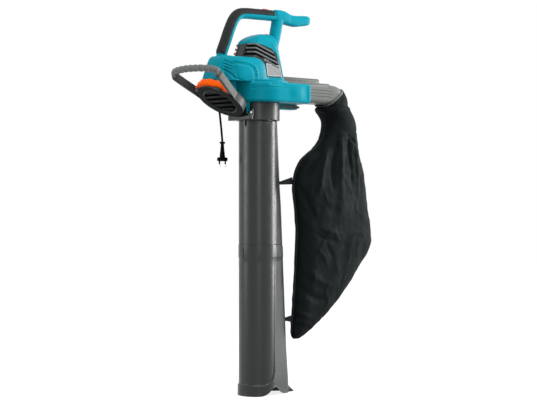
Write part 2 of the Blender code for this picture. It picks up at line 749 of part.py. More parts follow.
def vent_outline(inset):
    """Side view of the dark vent cover, set in by a clearance."""
    front = TOWER_FRONT_LOW - 0.004
    lip = SHOULDER_TOP_Z + GAP
    foot = SHOULDER_TOP_Z - 0.058
    return [(front, CAP_SEAM_Z - inset), (-0.046, CAP_SEAM_Z - inset), (-0.020, CAP_SEAM_Z - 0.004 - inset),
            (0.014, CAP_SEAM_Z - 0.013 - inset), (0.032 - inset, CAP_SEAM_Z - 0.026),
            (0.044 - inset, CAP_SEAM_Z - 0.050), (0.055 - inset, foot + 0.025),
            (0.059 - inset, foot + inset), (-0.013 + inset, foot + inset),
            (-0.016 + inset, foot + 0.019), (-0.023 + inset, foot + 0.038),
            (-0.032 + inset, foot + 0.0485 + inset), (-0.047, foot + 0.0555 + inset), (-0.060, lip + inset),
            (front, lip + inset)]


def make_housing_form(root):
    """The whole teal body as one guide, which both halves are taken from."""
    seam = FAN_DEPTH + BULKHEAD + 2 * GAP
    form = guide("housing_form", tower_surface(0.0, seam, 0.0), root)
    # The exact solver loses this body at the dial slot, so its steps use the manifold one.
    form["solver"] = "MANIFOLD"
    bevel(form, 0.0055, 2, 22.0)
    join(form, guide("shoulder_form", shoulder_surface(0.0, seam, SHOULDER_TOP_Z), root))
    join(form, guide("base_flange", rod(BASE_FLANGE_R, seam, seam + BASE_FLANGE, 32), root))
    low_back = hub_line(-0.0325)
    high_back = hub_line(0.076)
    front = slab([high_back, (-0.179, SHOULDER_TOP_Z - 0.009), (-0.166, SHOULDER_TOP_Z + 0.0035),
                  (-0.062, SHOULDER_TOP_Z + 0.001), (-0.062, SHOULDER_TOP_Z - 0.037),
                  (-0.112, seam + 0.010), low_back], 0.035, 0.006)
    join(form, guide("front_form", front, root))
    loop = guide("loop_form", sweep(handle_path(), loop_section(GRIP_SKIN), (0, -1, 0)), root)
    join(form, loop)
    column = smooth_path([(0.052, 0, CAP_SEAM_Z - 0.032), (0.060, 0, CAP_SEAM_Z + 0.003),
                          (0.0690, 0, CAP_SEAM_Z + 0.035), (0.0765, 0, CAP_SEAM_Z + 0.068),
                          (0.0830, 0, GRIP_Z + 0.005)], 2)
    column_form = guide("column_form", sweep(column, oval(0.0165, 0.0170, 3.0, 16), (0, 1, 0)), root)
    join(form, column_form)
    head_path = [(0.066, 0.0015, 0.0195, 0.0165), (0.078, 0.0005, 0.0215, 0.0172),
                 (0.096, 0.0, 0.0215, 0.0172), (0.112, -0.0025, 0.0205, 0.0165),
                 (0.128, -0.0065, 0.0185, 0.0150), (0.150, -0.0085, 0.0180, 0.0150),
                 (0.175, -0.0060, 0.0172, 0.0152), (STUB_END_X - 0.016, -0.0035, 0.0160, 0.0150),
                 (STUB_END_X - 0.005, -0.0030, 0.0135, 0.0125), (STUB_END_X, -0.0025, 0.0090, 0.0085)]
    rings = []
    for x, rise, deep, wide in head_path:
        rings.append([Vector((x, b, GRIP_Z + rise + a)) for a, b in oval(deep, wide, 3.0, 16)])
    join(form, guide("head_form", ring_surface(rings), root))
    return form


def make_cavities(root):
    tower = guide("tower_cavity", tower_surface(WALL, FAN_DEPTH + BULKHEAD / 2, WALL), root)
    shoulder = guide("shoulder_cavity",
                     shoulder_surface(0.0045, FAN_DEPTH + BULKHEAD * 0.75, SHOULDER_TOP_Z - 0.004), root)
    keep(shoulder, guide("shoulder_limit", box((-0.1085, -0.1, 0.0), (0.1, 0.1, 0.2)), root))
    wiring = [p for p in handle_path() if p.z > SHOULDER_TOP_Z + 0.013]
    duct = guide("wiring_cavity", sweep(wiring[::3], oval(0.0085, 0.0090, 2.0, 6), (0, 1, 0)), root)
    return [tower, shoulder, duct]


def make_housing(paints, root):
    form = make_housing_form(root)
    cut(form, *make_cavities(root))
    vent_gap = guide("vent_opening", side_prism(vent_outline(0.0), -0.09, 0.09), root)
    cut(form, vent_gap)
    pocket_x = GRIP_X + 0.040
    pocket = box((pocket_x - 0.016, -0.0062, GRIP_Z + 0.004), (pocket_x + 0.016, 0.0062, GRIP_Z + 0.05))
    cut(form, guide("switch_pocket", pocket, root))
    dial_x, dial_z, dial_r = dial_place()
    reach = dial_r + 0.0014
    slot = box((dial_x - reach, -0.0044, dial_z - reach), (dial_x + reach, 0.0044, dial_z + reach))
    cut(form, guide("dial_slot", slot, root))
    cut(form, guide("gland_seat", gland_rod(GLAND_R + GAP, -2 * GAP, 0.030), root))
    for name, low, high in (("housing_left", GAP / 2, 0.2), ("housing_right", -0.2, -GAP / 2)):
        half = add(name, box((-0.3, low, 0.0), (0.3, high, 0.4)), paints["teal"], root)
        keep(half, form)
    cover = add("vent_cover", tower_surface(0.0008, FAN_DEPTH + 0.01, 0.0), paints["black"], root)
    bevel(cover, 0.0050, 2, 22.0)
    cut(cover, guide("vent_inside", tower_surface(WALL, FAN_DEPTH, 0.0), root))
    keep(cover, guide("vent_outline", side_prism(vent_outline(GAP), -0.08, 0.08), root))
    for side in (-1.0, 1.0):
        for i in range(VENT_SLOTS):
            cut(cover, guide("vent_slot", vent_slot(side, i), root))


def vent_slot(side, index):
    """One cooling slot: level round the front corner, then sloping down along the flank."""
    top = CAP_SEAM_Z - 0.0060 - index * VENT_SLOT_PITCH
    knee = TOWER_FRONT_HIGH + 0.015
    end = 0.024 + index * 0.0070
    drop = (end - knee) * math.tan(VENT_SLOPE)
    height = VENT_SLOT_HEIGHT
    outline = [(TOWER_FRONT_LOW - 0.02, top), (TOWER_FRONT_LOW - 0.02, top - height),
               (knee, top - height), (end, top - height - drop),
               (end + height * 0.5, top - height * 0.35 - drop), (end, top - drop), (knee, top)]
    near = side * VENT_SLOT_START_Y
    far = side * 0.09
    return side_prism(outline, min(near, far), max(near, far))


def dial_place():
    return 0.0345, CAP_SEAM_Z + 0.027, 0.0125


def make_controls(paints, root):
    path = handle_path()
    first = next(i for i, p in enumerate(path) if p.z > FAN_DEPTH + HANDLE_FOOT - GAP)
    last = next(i for i, p in enumerate(path) if p.x > 0.060)
    skin = sweep(path[first:last], grip_section(), (0, -1, 0))
    grip = add("main_grip", skin, paints["rubber"], root, 50.0)
    pocket_x = GRIP_X + 0.040
    window = box((pocket_x - 0.013, -0.0062, GRIP_Z), (pocket_x + 0.013, 0.0062, GRIP_Z + 0.05))
    cut(grip, guide("grip_window", window, root))
    top = GRIP_Z + HANDLE_DEPTH / 2 + 0.0012
    rocker = box((-0.0085, -0.0054, -0.010), (0.0085, 0.0054, 0.0))
    switch = add("power_switch", rocker, paints["red"], root)
    switch.location = (pocket_x, 0.0, top + 0.0022)
    bevel(switch, 0.0012, 2)
    body = box((pocket_x - 0.0145, -0.0056, GRIP_Z + 0.0046), (pocket_x + 0.0145, 0.0056, top - 0.0086))
    add("switch_module", body, paints["black"], root)
    dial_x, dial_z, dial_r = dial_place()
    teeth = []
    for i in range(32):
        radius = dial_r if i % 2 else dial_r - 0.0006
        teeth.append((radius * math.cos(math.pi * i / 16), radius * math.sin(math.pi * i / 16)))
    dial = add("speed_dial", side_prism(teeth, -0.0036, 0.0036), paints["orange"], root)
    dial.location = (dial_x, 0.0, dial_z)


# Front hub with the turning handle

def make_hub(paints, root, hub):
    core = add("hub_core", revolve([(CORE_R, -HUB_DEPTH - GAP), (CORE_R, -0.0045), (CORE_R - 0.005, -0.0045),
                                    (CORE_R - 0.005, -HUB_DEPTH - GAP)]), paints["grey"], hub)
    floor_plate = rod(CORE_R - 0.004, -HUB_DEPTH - GAP, -HUB_DEPTH + 0.003, SIDES)
    join(core, guide("core_floor", floor_plate, hub))
    disc = add("hub_cover", washer(LOUVRE_R - 0.005, LOUVRE_R, -0.0042, 0.0, 28), paints["black"], hub)
    pitch = 2.0 * (LOUVRE_R - 0.006) / LOUVRE_BARS
    for i in range(LOUVRE_BARS):
        x = -LOUVRE_R + 0.006 + pitch * (i + 0.5)
        half = math.sqrt((LOUVRE_R - 0.002) ** 2 - (abs(x) + pitch * 0.3) ** 2)
        bar = side_prism([(x - pitch * 0.30, -0.0040), (x + pitch * 0.10, -0.0040),
                          (x + pitch * 0.30, -0.0006), (x - pitch * 0.10, -0.0006)], -half, half)
        join(disc, guide("louvre_bar", bar, hub))
    spine = box((-LOUVRE_R + 0.003, -0.002, -0.0042), (LOUVRE_R - 0.003, 0.002, -0.0018))
    join(disc, guide("louvre_spine", spine, hub))
    make_front_handle(paints, hub)
    make_lock_ring(paints, hub)


def front_handle_path():
    reach, half = FRONT_GRIP_REACH, FRONT_GRIP_HALF
    arm = [(0.012, HUB_R - 0.0065), (0.040, HUB_R + 0.0020), (reach * 0.50, half * 0.875),
           (reach * 0.705, half * 0.957), (reach * 0.83, half * 0.985), (reach * 0.915, half * 0.90),
           (reach * 0.965, half * 0.66), (reach * 0.992, half * 0.34)]
    right = [(a, -b) for a, b in reversed(arm)]
    return arm + [(reach, 0.0)] + right


def front_handle_section(position, total):
    """Arms are flat straps as deep as the drum; they narrow into the round grip."""
    share = 1.0 - abs(2.0 * position / (total - 1) - 1.0)
    grip = min(max((share - 0.34) / 0.30, 0.0), 1.0)
    deep = (HUB_DEPTH / 2 - 0.0015) * (1.0 - grip) + FRONT_GRIP_R * 0.82 * grip
    thick = 0.0052 * (1.0 - grip) + FRONT_GRIP_R * 0.86 * grip
    power = 5.0 * (1.0 - grip) + 2.2 * grip
    centre = -HUB_DEPTH / 2 - 0.0005 * (1.0 - grip) - 0.006 * grip
    return [(a, b + centre) for a, b in oval(thick, deep, power, 12)]


def make_front_handle(paints, hub):
    path = smooth_path([(a, b, 0.0) for a, b in front_handle_path()], 1)
    sections = [front_handle_section(i, len(path)) for i in range(len(path))]
    ring = washer(LOUVRE_R - SLIDE_GAP, HUB_R, -0.0060, 0.0, 28)
    handle = add("front_handle", ring, paints["grey"], hub)
    handle.rotation_euler = (0.0, 0.0, -FRONT_HANDLE_TURN)
    window = math.degrees(LOCK_HALF_ANGLE) + 14.0
    drum_r = HUB_R - DRUM_STEP
    drum = (arc((0.0, 0.0), drum_r, window, 360.0 - window, 19)
            + arc((0.0, 0.0), drum_r - DRUM_WALL, 360.0 - window, window, 19))
    wall = guide("drum_wall", prism(drum, -HUB_DEPTH, -0.0030), hub)
    wall.rotation_euler = (0.0, 0.0, -FRONT_HANDLE_TURN)
    join(handle, wall)
    loop = guide("front_loop", sweep(path, sections, (0, 0, 1)), hub)
    loop.rotation_euler = (0.0, 0.0, -FRONT_HANDLE_TURN)
    join(handle, loop)
    for side in (-1.0, 1.0):
        ear = guide("ear", turn(box((HUB_R - 0.010, -0.013, -0.0055), (HUB_R + 0.006, 0.013, -0.0005)),
                                side * math.radians(36.0), "Z"), hub)
        ear.rotation_euler = (0.0, 0.0, -FRONT_HANDLE_TURN)
        join(handle, ear)
        bore = shift(rod(0.0028, -0.02, 0.02, 8), (HUB_R - 0.003, 0, 0))
        hole = guide("ear_hole", turn(bore, side * math.radians(36.0), "Z"), hub)
        hole.rotation_euler = (0.0, 0.0, -FRONT_HANDLE_TURN)
        cut(handle, hole)
    spigot = guide("core_clear", rod(LOUVRE_R + SLIDE_GAP, -0.1, 0.1, 28), hub)
    cut(handle, spigot)


def make_lock_ring(paints, hub):
    low = -HUB_DEPTH + 0.0010
    high = -0.0075
    band = washer(CORE_R + SLIDE_GAP, CORE_R + 0.009, low, high, 26)
    ring = add("handle_lock_ring", band, paints["orange"], hub)
    outline = []
    count = LOCK_LOBES * 4
    span = 2.0 * LOCK_HALF_ANGLE
    for i in range(count + 1):
        share = i / count
        turn_now = -LOCK_HALF_ANGLE + span * share
        radius = LOCK_R - LOCK_LOBE_DEPTH * (1.0 - abs(math.sin(math.pi * LOCK_LOBES * share)))
        outline.append((radius * math.cos(turn_now), radius * math.sin(turn_now)))
    for i in range(13):
        turn_now = LOCK_HALF_ANGLE - span * i / 12
        outline.append(((CORE_R + 0.004) * math.cos(turn_now), (CORE_R + 0.004) * math.sin(turn_now)))
    sector = guide("lock_sector", prism(outline, low, high), hub)
    join(ring, sector)


# Suction tube

def teardrop(front_r, keel_r, keel_x, z, count=SIDES):
    """Section of the tube: a round front drawn out to a narrower keel at the back."""
    change = math.acos(min((front_r - keel_r) / max(keel_x, 1e-6), 1.0))
    ring = []
    for i in range(count):
        turn_now = 2.0 * math.pi * (i + 0.5) / count - math.pi
        c, s = math.cos(turn_now), math.sin(turn_now)
        if abs(turn_now) < change:
            ring.append(Vector((keel_x + keel_r * c, keel_r * s, z)))
        else:
            ring.append(Vector((front_r * c, front_r * s, z)))
    return ring


def tube_ring(z, inset, spread=0.0):
    """Tube section at a height, from a full circle at the collar to the drawn-out mouth."""
    share = (-COLLAR_LENGTH - z) / (-COLLAR_LENGTH - MOUTH_Z)
    share = min(max(share, 0.0), 1.0)
    keel_r = KEEL_TOP_R + (KEEL_END_R - KEEL_TOP_R) * share ** 0.8
    keel_x = KEEL_TOP_X + (KEEL_END_X - KEEL_TOP_X) * share ** 0.9
    return teardrop(TUBE_R + spread - inset, keel_r + spread - inset, keel_x, z)


def mouth_ring(inset, spread):
    ring = tube_ring(MOUTH_Z, inset, spread)
    for point in ring:
        point.z = MOUTH_Z + MOUTH_ARCH * math.exp(-((point.x - 0.022) / 0.030) ** 2)
    return ring


def make_tubes(paints, root):
    top = -0.014
    socket_top = UPPER_TUBE_END
    round_top = [Vector((p.x, p.y, top)) for p in teardrop(TUBE_R, TUBE_R, 0.0, top)]
    round_neck = [Vector((p.x, p.y, -COLLAR_LENGTH)) for p in round_top]
    levels = [-COLLAR_LENGTH - 0.004, -0.17, -0.30, socket_top + SLIDE_GAP]
    spigot_inset = TUBE_WALL + SLIDE_GAP
    outer = [round_top, round_neck] + [tube_ring(z, 0.0) for z in levels]
    outer += [tube_ring(socket_top + SLIDE_GAP - 0.0001, spigot_inset),
              tube_ring(socket_top - TUBE_SOCKET, spigot_inset)]
    in_top = teardrop(TUBE_R - TUBE_WALL, TUBE_R - TUBE_WALL, 0.0, top)
    in_neck = teardrop(TUBE_R - TUBE_WALL, TUBE_R - TUBE_WALL, 0.0, -COLLAR_LENGTH)
    inner = [in_top, in_neck] + [tube_ring(z, TUBE_WALL) for z in levels[:-1]]
    spigot_bore = spigot_inset + TUBE_WALL * 0.8
    inner += [tube_ring(socket_top + 0.012, TUBE_WALL), tube_ring(socket_top, spigot_bore),
              tube_ring(socket_top - TUBE_SOCKET, spigot_bore)]
    upper = add("upper_tube", ring_surface(outer + inner[::-1], looped=True), paints["tube"], root)
    notch = box((-TUBE_R - 0.010, -0.024, -COLLAR_LENGTH - 0.018),
                (-TUBE_R + 0.0105, -0.017, -COLLAR_LENGTH - 0.001))
    cut(upper, guide("tube_notch", notch, root))
    eyelet(upper, EYELET_UPPER_Z, root)
    low_levels = [socket_top - 0.040, socket_top - 0.044, -0.65, -0.862, -0.880]
    spread = [0.0012, 0.0, 0.0, 0.0, 0.0020]
    outer = [tube_ring(socket_top, 0.0, 0.0012)]
    outer += [tube_ring(z, 0.0, s) for z, s in zip(low_levels, spread)]
    outer.append(mouth_ring(0.0, 0.0040))
    socket_end = socket_top - TUBE_SOCKET
    inner_levels = [socket_end - 0.002, socket_end - 0.004, -0.65, -0.862, -0.880]
    inner = [tube_ring(socket_top, TUBE_WALL), tube_ring(inner_levels[0], TUBE_WALL)]
    inner += [tube_ring(z, TUBE_WALL, s) for z, s in zip(inner_levels[1:], spread[1:])]
    inner.append(mouth_ring(TUBE_WALL, 0.0040))
    lower = add("lower_tube", ring_surface(outer + inner[::-1], looped=True), paints["tube"], root)
    keel = KEEL_END_X + KEEL_END_R
    skid = side_prism([(keel - 0.004, MOUTH_Z + 0.030), (keel + 0.008, MOUTH_Z + 0.016),
                       (SKID_REACH, MOUTH_Z + 0.004), (SKID_REACH, MOUTH_Z), (keel - 0.001, MOUTH_Z)],
                      -SKID_HALF, SKID_HALF)
    join(lower, guide("skid_foot", skid, root))
    eyelet(lower, EYELET_LOWER_Z, root)


def keel_back(z):
    ring = tube_ring(z, 0.0)
    return max(point.x for point in ring)


def eyelet(tube, z, root):
    back = keel_back(z)
    lug = side_prism([(back - 0.003, z - 0.009), (back + 0.006, z - 0.007), (back + 0.008, z),
                      (back + 0.006, z + 0.007), (back - 0.003, z + 0.009)], -0.0022, 0.0022)
    form = guide("eyelet_lug", lug, root)
    hole = turn(rod(WIRE_R + 0.0007, -0.02, 0.02, 12), math.pi / 2, "X")
    cut(form, guide("eyelet_hole", shift(hole, (back + EYELET_REACH, 0.0, z)), root))
    join(tube, form)


def make_collar(paints, root):
    step = -0.0135
    ring = revolve([(COLLAR_R, -COLLAR_LENGTH), (COLLAR_R, -GAP), (INLET_R + 0.001, -GAP),
                    (INLET_R + 0.001, step), (TUBE_R + SLIDE_GAP, step),
                    (TUBE_R + SLIDE_GAP, -COLLAR_LENGTH)], 30)
    collar = add("tube_collar", ring, paints["tube"], root)
    bar_low = -COLLAR_LENGTH
    bar_end = HOOK_Y + 0.006
    bar = prism([(HOOK_X - 0.007, -bar_end), (HOOK_X + 0.007, -bar_end), (HOOK_X + 0.022, 0.014 - bar_end),
                 (HOOK_X + 0.022, bar_end - 0.014), (HOOK_X + 0.007, bar_end), (HOOK_X - 0.007, bar_end)],
                bar_low, bar_low + HOOK_BAR_HEIGHT)
    bar_form = guide("hook_bar", bar, root)
    clear = guide("bar_bore", rod(TUBE_R + 0.002, -0.2, 0.1, 30), root)
    cut(bar_form, clear)
    join(collar, bar_form)
    for side in (-1.0, 1.0):
        reach = 0.0105
        hook = [(HOOK_X - reach * 0.62, bar_low + 0.010)]
        hook += [(HOOK_X - reach * 0.62, HOOK_Z + 0.004), (HOOK_X - HOOK_PIN_R - GAP * 2, HOOK_Z + 0.006)]
        hook += [(HOOK_X + x, HOOK_Z + z) for x, z in arc((0.0, 0.0), HOOK_PIN_R + GAP * 2, 180.0, 360.0, 9)]
        hook += [(HOOK_X + HOOK_PIN_R + GAP * 2, HOOK_Z + 0.010), (HOOK_X + reach, HOOK_Z + 0.012),
                 (HOOK_X + reach, bar_low + 0.010)]
        lug = side_prism(hook, side * (HOOK_Y - 0.004), side * (HOOK_Y + 0.004))
        join(collar, guide("hook", lug, root))
    ledge_z = LATCH_Z + LATCH_THICKNESS / 2 - LATCH_TIP_STEP + 2 * GAP
    ledge = box((COLLAR_R - 0.003, -0.010, ledge_z), (COLLAR_R + LATCH_BITE, 0.010, ledge_z + 0.0030))
    join(collar, guide("catch_ledge", ledge, root))
    for side, name in ((1.0, "hook_pin_left"), (-1.0, "hook_pin_right")):
        pin = turn(rod(HOOK_PIN_R, -0.0125, 0.0060), side * -math.pi / 2, "X")
        item = add(name, pin, paints["steel"], root)
        item.location = (HOOK_X, side * HOOK_Y, HOOK_Z)


def make_latch(paints, root):
    """A sprung slide whose tip bites under the collar's ledge; pulling it back frees the tube."""
    half = LATCH_THICKNESS / 2
    front = COLLAR_R + 0.0010
    step = front + LATCH_BITE + 2 * GAP
    outline = [(front, LATCH_Z + half - LATCH_TIP_STEP), (step, LATCH_Z + half - LATCH_TIP_STEP),
               (step, LATCH_Z + half), (LATCH_END_X - 0.004, LATCH_Z + half),
               (LATCH_END_X, LATCH_Z + half * 0.3), (LATCH_END_X - 0.001, LATCH_Z - half * 0.6),
               (LATCH_END_X - 0.006, LATCH_Z - half), (front, LATCH_Z - half)]
    lever = side_prism([(x - LATCH_PIN_X, z - LATCH_Z) for x, z in outline], -LATCH_HALF, LATCH_HALF)
    latch = add("tube_latch", lever, paints["grey"], root)
    latch.location = (LATCH_PIN_X, 0.0, LATCH_Z)
    reach = LATCH_PIN_R + GAP
    slot = box((LATCH_PIN_X - reach - LATCH_TRAVEL, -0.03, LATCH_Z - reach),
               (LATCH_PIN_X + reach, 0.03, LATCH_Z + reach))
    cut(latch, guide("latch_slot", slot, root))
    pin = turn(rod(LATCH_PIN_R, -LATCH_HALF - 0.0045, LATCH_HALF + 0.0045, 12), math.pi / 2, "X")
    item = add("latch_pin", pin, paints["steel"], root)
    item.location = (LATCH_PIN_X, 0.0, LATCH_Z)


# Outlet duct and bag

def make_outlet(paints, root):
    low_y = duct_low_y(0.0) + 0.0015
    high_y = duct_high_y(0.0) - 0.0015
    middle_y = (low_y + high_y) / 2
    half_w = (high_y - low_y) / 2
    start = DUCT_END_X + 2 * GAP
    pivot_x = ELBOW_X - ELBOW_R - 0.003
    pivot_z = ELBOW_END_Z
    flat_low, flat_high = 0.0015, FAN_DEPTH + 0.0005

    def ring_at(x, shrink):
        deep = (flat_high - flat_low) / 2 - shrink
        centre = (flat_high + flat_low) / 2
        return [Vector((x, middle_y + b, centre + a)) for a, b in oval(deep, half_w - shrink, 3.6, 20)]

    def bend_ring(angle, shrink):
        share = angle / 90.0
        turn_now = math.radians(angle)
        inner = (flat_low - pivot_z) * (1.0 - share) + 0.003 * share + shrink
        start_reach = flat_high - pivot_z
        growth = (2.0 * ELBOW_R + 0.003 - start_reach) * math.sin(turn_now) ** 1.2
        outer = start_reach + growth - shrink
        deep = (outer - inner) / 2
        middle = (outer + inner) / 2
        wide = half_w * (1.0 - share) + ELBOW_R * share - shrink
        centre_y = middle_y * (1.0 - share) + ELBOW_Y * share
        power = 3.6 * (1.0 - share) + 2.0 * share
        ring = []
        for a, b in oval(deep, wide, power, 20):
            reach = middle + a
            ring.append(Vector((pivot_x + reach * math.sin(turn_now), centre_y + b,
                                pivot_z + reach * math.cos(turn_now))))
        return ring

    angles = (0.0, 18.0, 36.0, 54.0, 72.0, 90.0)
    outer = [ring_at(start, 0.0)] + [bend_ring(a, 0.0) for a in angles]
    inner = [ring_at(start, WALL)] + [bend_ring(a, WALL) for a in angles]
    duct = add("outlet_duct", ring_surface(outer + inner[::-1], looped=True), paints["grey"], root)
    lane_y = duct_high_y(-FLANGE_PROUD) + GAP
    lanes = (("outlet_mid_lane", lane_y, MID_LANE_TOP, LANE_END_X, 0.104),
             ("outlet_far_lane", lane_y + GAP + LANE_WIDTH, FAR_LANE_TOP, LANE_END_X - 0.012, 0.1085))
    for name, y, top, end, begin in lanes:
        far_y = y + LANE_WIDTH
        outline = [(y, LANE_FLOOR), (far_y, LANE_FLOOR), (far_y, top - 0.012)]
        outline += arc((far_y - 0.012, top - 0.012), 0.012, 0.0, 90.0, 5)[1:]
        outline += arc((y + 0.008, top - 0.008), 0.008, 90.0, 180.0, 4)
        rings = []
        for x in (begin, end):
            rings.append([Vector((x, py, pz)) for py, pz in outline])
        lane = add(name, ring_surface(rings), paints["grey"], root)
        bevel(lane, 0.002, 1, 60.0)


def bag_section(z):
    """Middle and half sizes of the filled bag at a height."""
    for above, below in zip(BAG_SECTIONS, BAG_SECTIONS[1:]):
        if above[0] >= z >= below[0]:
            share = (above[0] - z) / (above[0] - below[0])
            return [a + (b - a) * share for a, b in zip(above[1:], below[1:])]
    return BAG_SECTIONS[0][1:]


def bag_front(y, z):
    """X of the bag's side that faces the tube, on the facets of its section."""
    x, half_x, middle_y, half_y = bag_section(z)
    ring = [(x + a, middle_y + b) for a, b in oval(half_x, half_y, BAG_SQUARENESS, BAG_SIDES)]
    found = []
    for (x0, y0), (x1, y1) in zip(ring, ring[1:] + ring[:1]):
        if y0 != y1 and min(y0, y1) <= y <= max(y0, y1):
            found.append(x0 + (x1 - x0) * (y - y0) / (y1 - y0))
    return min(found)


def make_bag(paints, root):
    neck_top = ELBOW_END_Z - GAP
    neck_low = neck_top - BAG_RING_HEIGHT
    rim = ELBOW_R + BAG_RING_PROUD
    bore = ELBOW_R - 0.004
    ring = revolve([(rim, neck_low), (rim, neck_top), (bore, neck_top), (bore, neck_low)], 28,
                   (ELBOW_X, ELBOW_Y))
    add("bag_ring", ring, paints["black"], root)
    rings = []
    for z, x, half_x, y, half_y in BAG_SECTIONS:
        rings.append([Vector((x + a, y + b, z)) for a, b in oval(half_x, half_y, BAG_SQUARENESS, BAG_SIDES)])
    add("collection_bag", ring_surface(rings), paints["cloth"], root)


def wire_loop(z, start, reach):
    """A closed loop of wire in a level plane, through an eyelet at its front end."""
    half = HOOK_WIRE_HALF
    path = [(start, -half), (start, half), (start + reach * 0.5, half * 1.1), (start + reach, half * 0.75),
            (start + reach, -half * 0.75), (start + reach * 0.5, -half * 1.1)]
    up = Vector((0.0, 0.0, 1.0))
    rings = []
    for i in range(len(path)):
        here = Vector((*path[i], z))
        ahead = (Vector((*path[(i + 1) % len(path)], z)) - Vector((*path[i - 1], z))).normalized()
        out = ahead.cross(up)
        ring = []
        for k in range(8):
            angle = math.pi * k / 4
            ring.append(here + (out * math.cos(angle) + up * math.sin(angle)) * WIRE_R)
        rings.append(ring)
    return ring_surface(rings, looped=True)


def make_straps(paints, root):
    """Wire hooks in the tube's eyelets, and the cloth tabs that join them to the bag."""
    tabs = (("upper", EYELET_UPPER_Z, HOOK_WIRE_REACH, -0.030),
            ("lower", EYELET_LOWER_Z, HOOK_WIRE_REACH / 2, -0.022))
    for level, z, reach, strap_y in tabs:
        start = keel_back(z) + EYELET_REACH
        add("bag_hook_" + level, wire_loop(z, start, reach), paints["steel"], root)
        half = STRAP_THICKNESS / 2
        near = Vector((start + reach + WIRE_R + STRAP_THICKNESS, 0.0, z))
        along = (Vector((bag_front(strap_y, z) - half, strap_y, z)) - near).normalized()
        side = Vector((-along.y, along.x, 0.0)) * half
        rings = [[], []]
        for across, up in ((-1.0, -1.0), (1.0, -1.0), (1.0, 1.0), (-1.0, 1.0)):
            rise = Vector((0.0, 0.0, up * STRAP_WIDTH / 2))
            touch = bag_front(strap_y, z + rise.z) - half - 2 * GAP
            rings[0].append(near + side * across + rise)
            rings[1].append(Vector((touch, strap_y, z)) + side * across + rise)
        add("bag_strap_" + level, ring_surface(rings), paints["cloth"], root)


# Mains cord

def gland_axes():
    """Start, direction and length of the strain relief, with two directions across it."""
    start = Vector(CORD_GLAND_START)
    reach = Vector(CORD_ROUTE[0]) - start
    way = reach.normalized()
    side = way.cross(Vector((1.0, 0.0, 0.0))).normalized()
    return start, way, reach.length, side, way.cross(side)


def gland_ring(along, radius):
    start, way, length, side, up = gland_axes()
    return [start + way * along + side * radius * math.cos(math.pi * k / 8)
            + up * radius * math.sin(math.pi * k / 8) for k in range(16)]


def gland_rod(radius, low, high):
    return ring_surface([gland_ring(low, radius), gland_ring(high, radius)])


def make_cord(paints, root):
    length = gland_axes()[2]
    profile = ((0.0, GLAND_R), (0.18, GLAND_R), (0.22, GLAND_R * 0.78), (0.60, GLAND_R * 0.66),
               (1.0, CORD_R * 1.35))
    rings = [gland_ring(length * share - GAP, radius) for share, radius in profile]
    add("cord_gland", ring_surface(rings), paints["black"], root)
    path = smooth_path(CORD_ROUTE, 2)
    curve = bpy.data.curves.new("mains_cord", "CURVE")
    curve.dimensions = "3D"
    curve.bevel_depth = CORD_R
    curve.bevel_resolution = 2
    curve.use_fill_caps = True
    curve.materials.append(paints["black"])
    spline = curve.splines.new("POLY")
    spline.points.add(len(path) - 1)
    for point, place in zip(spline.points, path):
        point.co = (*place, 1.0)
    cord = bpy.data.objects.new("mains_cord", curve)
    bpy.context.scene.collection.objects.link(cord)
    cord.parent = root
    make_plug(paints, root, path[-1])


def make_plug(paints, root, end):
    top = end.z - GAP
    place = (end.x, end.y, 0.0)
    parts = ((0.0, 0.0086), (0.006, 0.0086), (0.0062, 0.0052), (0.018, 0.0058), (0.040, 0.0080),
             (0.050, 0.0092))
    rings = []
    for drop, radius in parts:
        rings.append([Vector((place[0] + a, place[1] + b, top - drop))
                      for a, b in oval(radius, radius * 0.86, 2.4, 12)])
    body = add("plug_body", ring_surface(rings), paints["black"], root)
    flange_top = top - 0.0495
    flange_low = flange_top - 0.012
    flange = [(place[0] + a, place[1] + b) for a, b in oval(0.0185, 0.0135, 2.0, 16)]
    disc = prism(flange, flange_low, flange_top)
    disc_form = guide("plug_flange", disc, root)
    bevel(disc_form, 0.002, 1)
    join(body, disc_form)
    for side, name in ((-1.0, "plug_pin_left"), (1.0, "plug_pin_right")):
        pin = rod(0.0024, flange_low - GAP - 0.019, flange_low - GAP, 8)
        shift(pin, (place[0] + side * 0.0070, place[1] - side * 0.0060, 0.0))
        add(name, pin, paints["steel"], root)


def main():
    clear_scene()
    paints = make_paints()
    root = empty("machine", (-GRIP_X, 0.0, -GRIP_Z))
    hub = empty("hub_axis", (HUB_X, 0.0, HUB_Z), (0.0, -math.pi / 2 - HUB_LEAN, 0.0), root)
    make_fan_housing(paints, root)
    make_rotor(paints, root)
    make_motor_frame(paints, root)
    make_housing(paints, root)
    make_controls(paints, root)
    make_hub(paints, root, hub)
    make_tubes(paints, root)
    make_collar(paints, root)
    make_latch(paints, root)
    make_outlet(paints, root)
    make_bag(paints, root)
    make_straps(paints, root)
    make_cord(paints, root)


main()
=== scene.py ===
# Looks of the leaf blower vacuum: studio, camera, materials and the finely modelled pieces that
# stand for the plain solids. Metres, +Z up, with the origin in the middle of the main grip.

import math

import bmesh
import bpy
import numpy as np
from mathutils import Matrix, Vector, noise


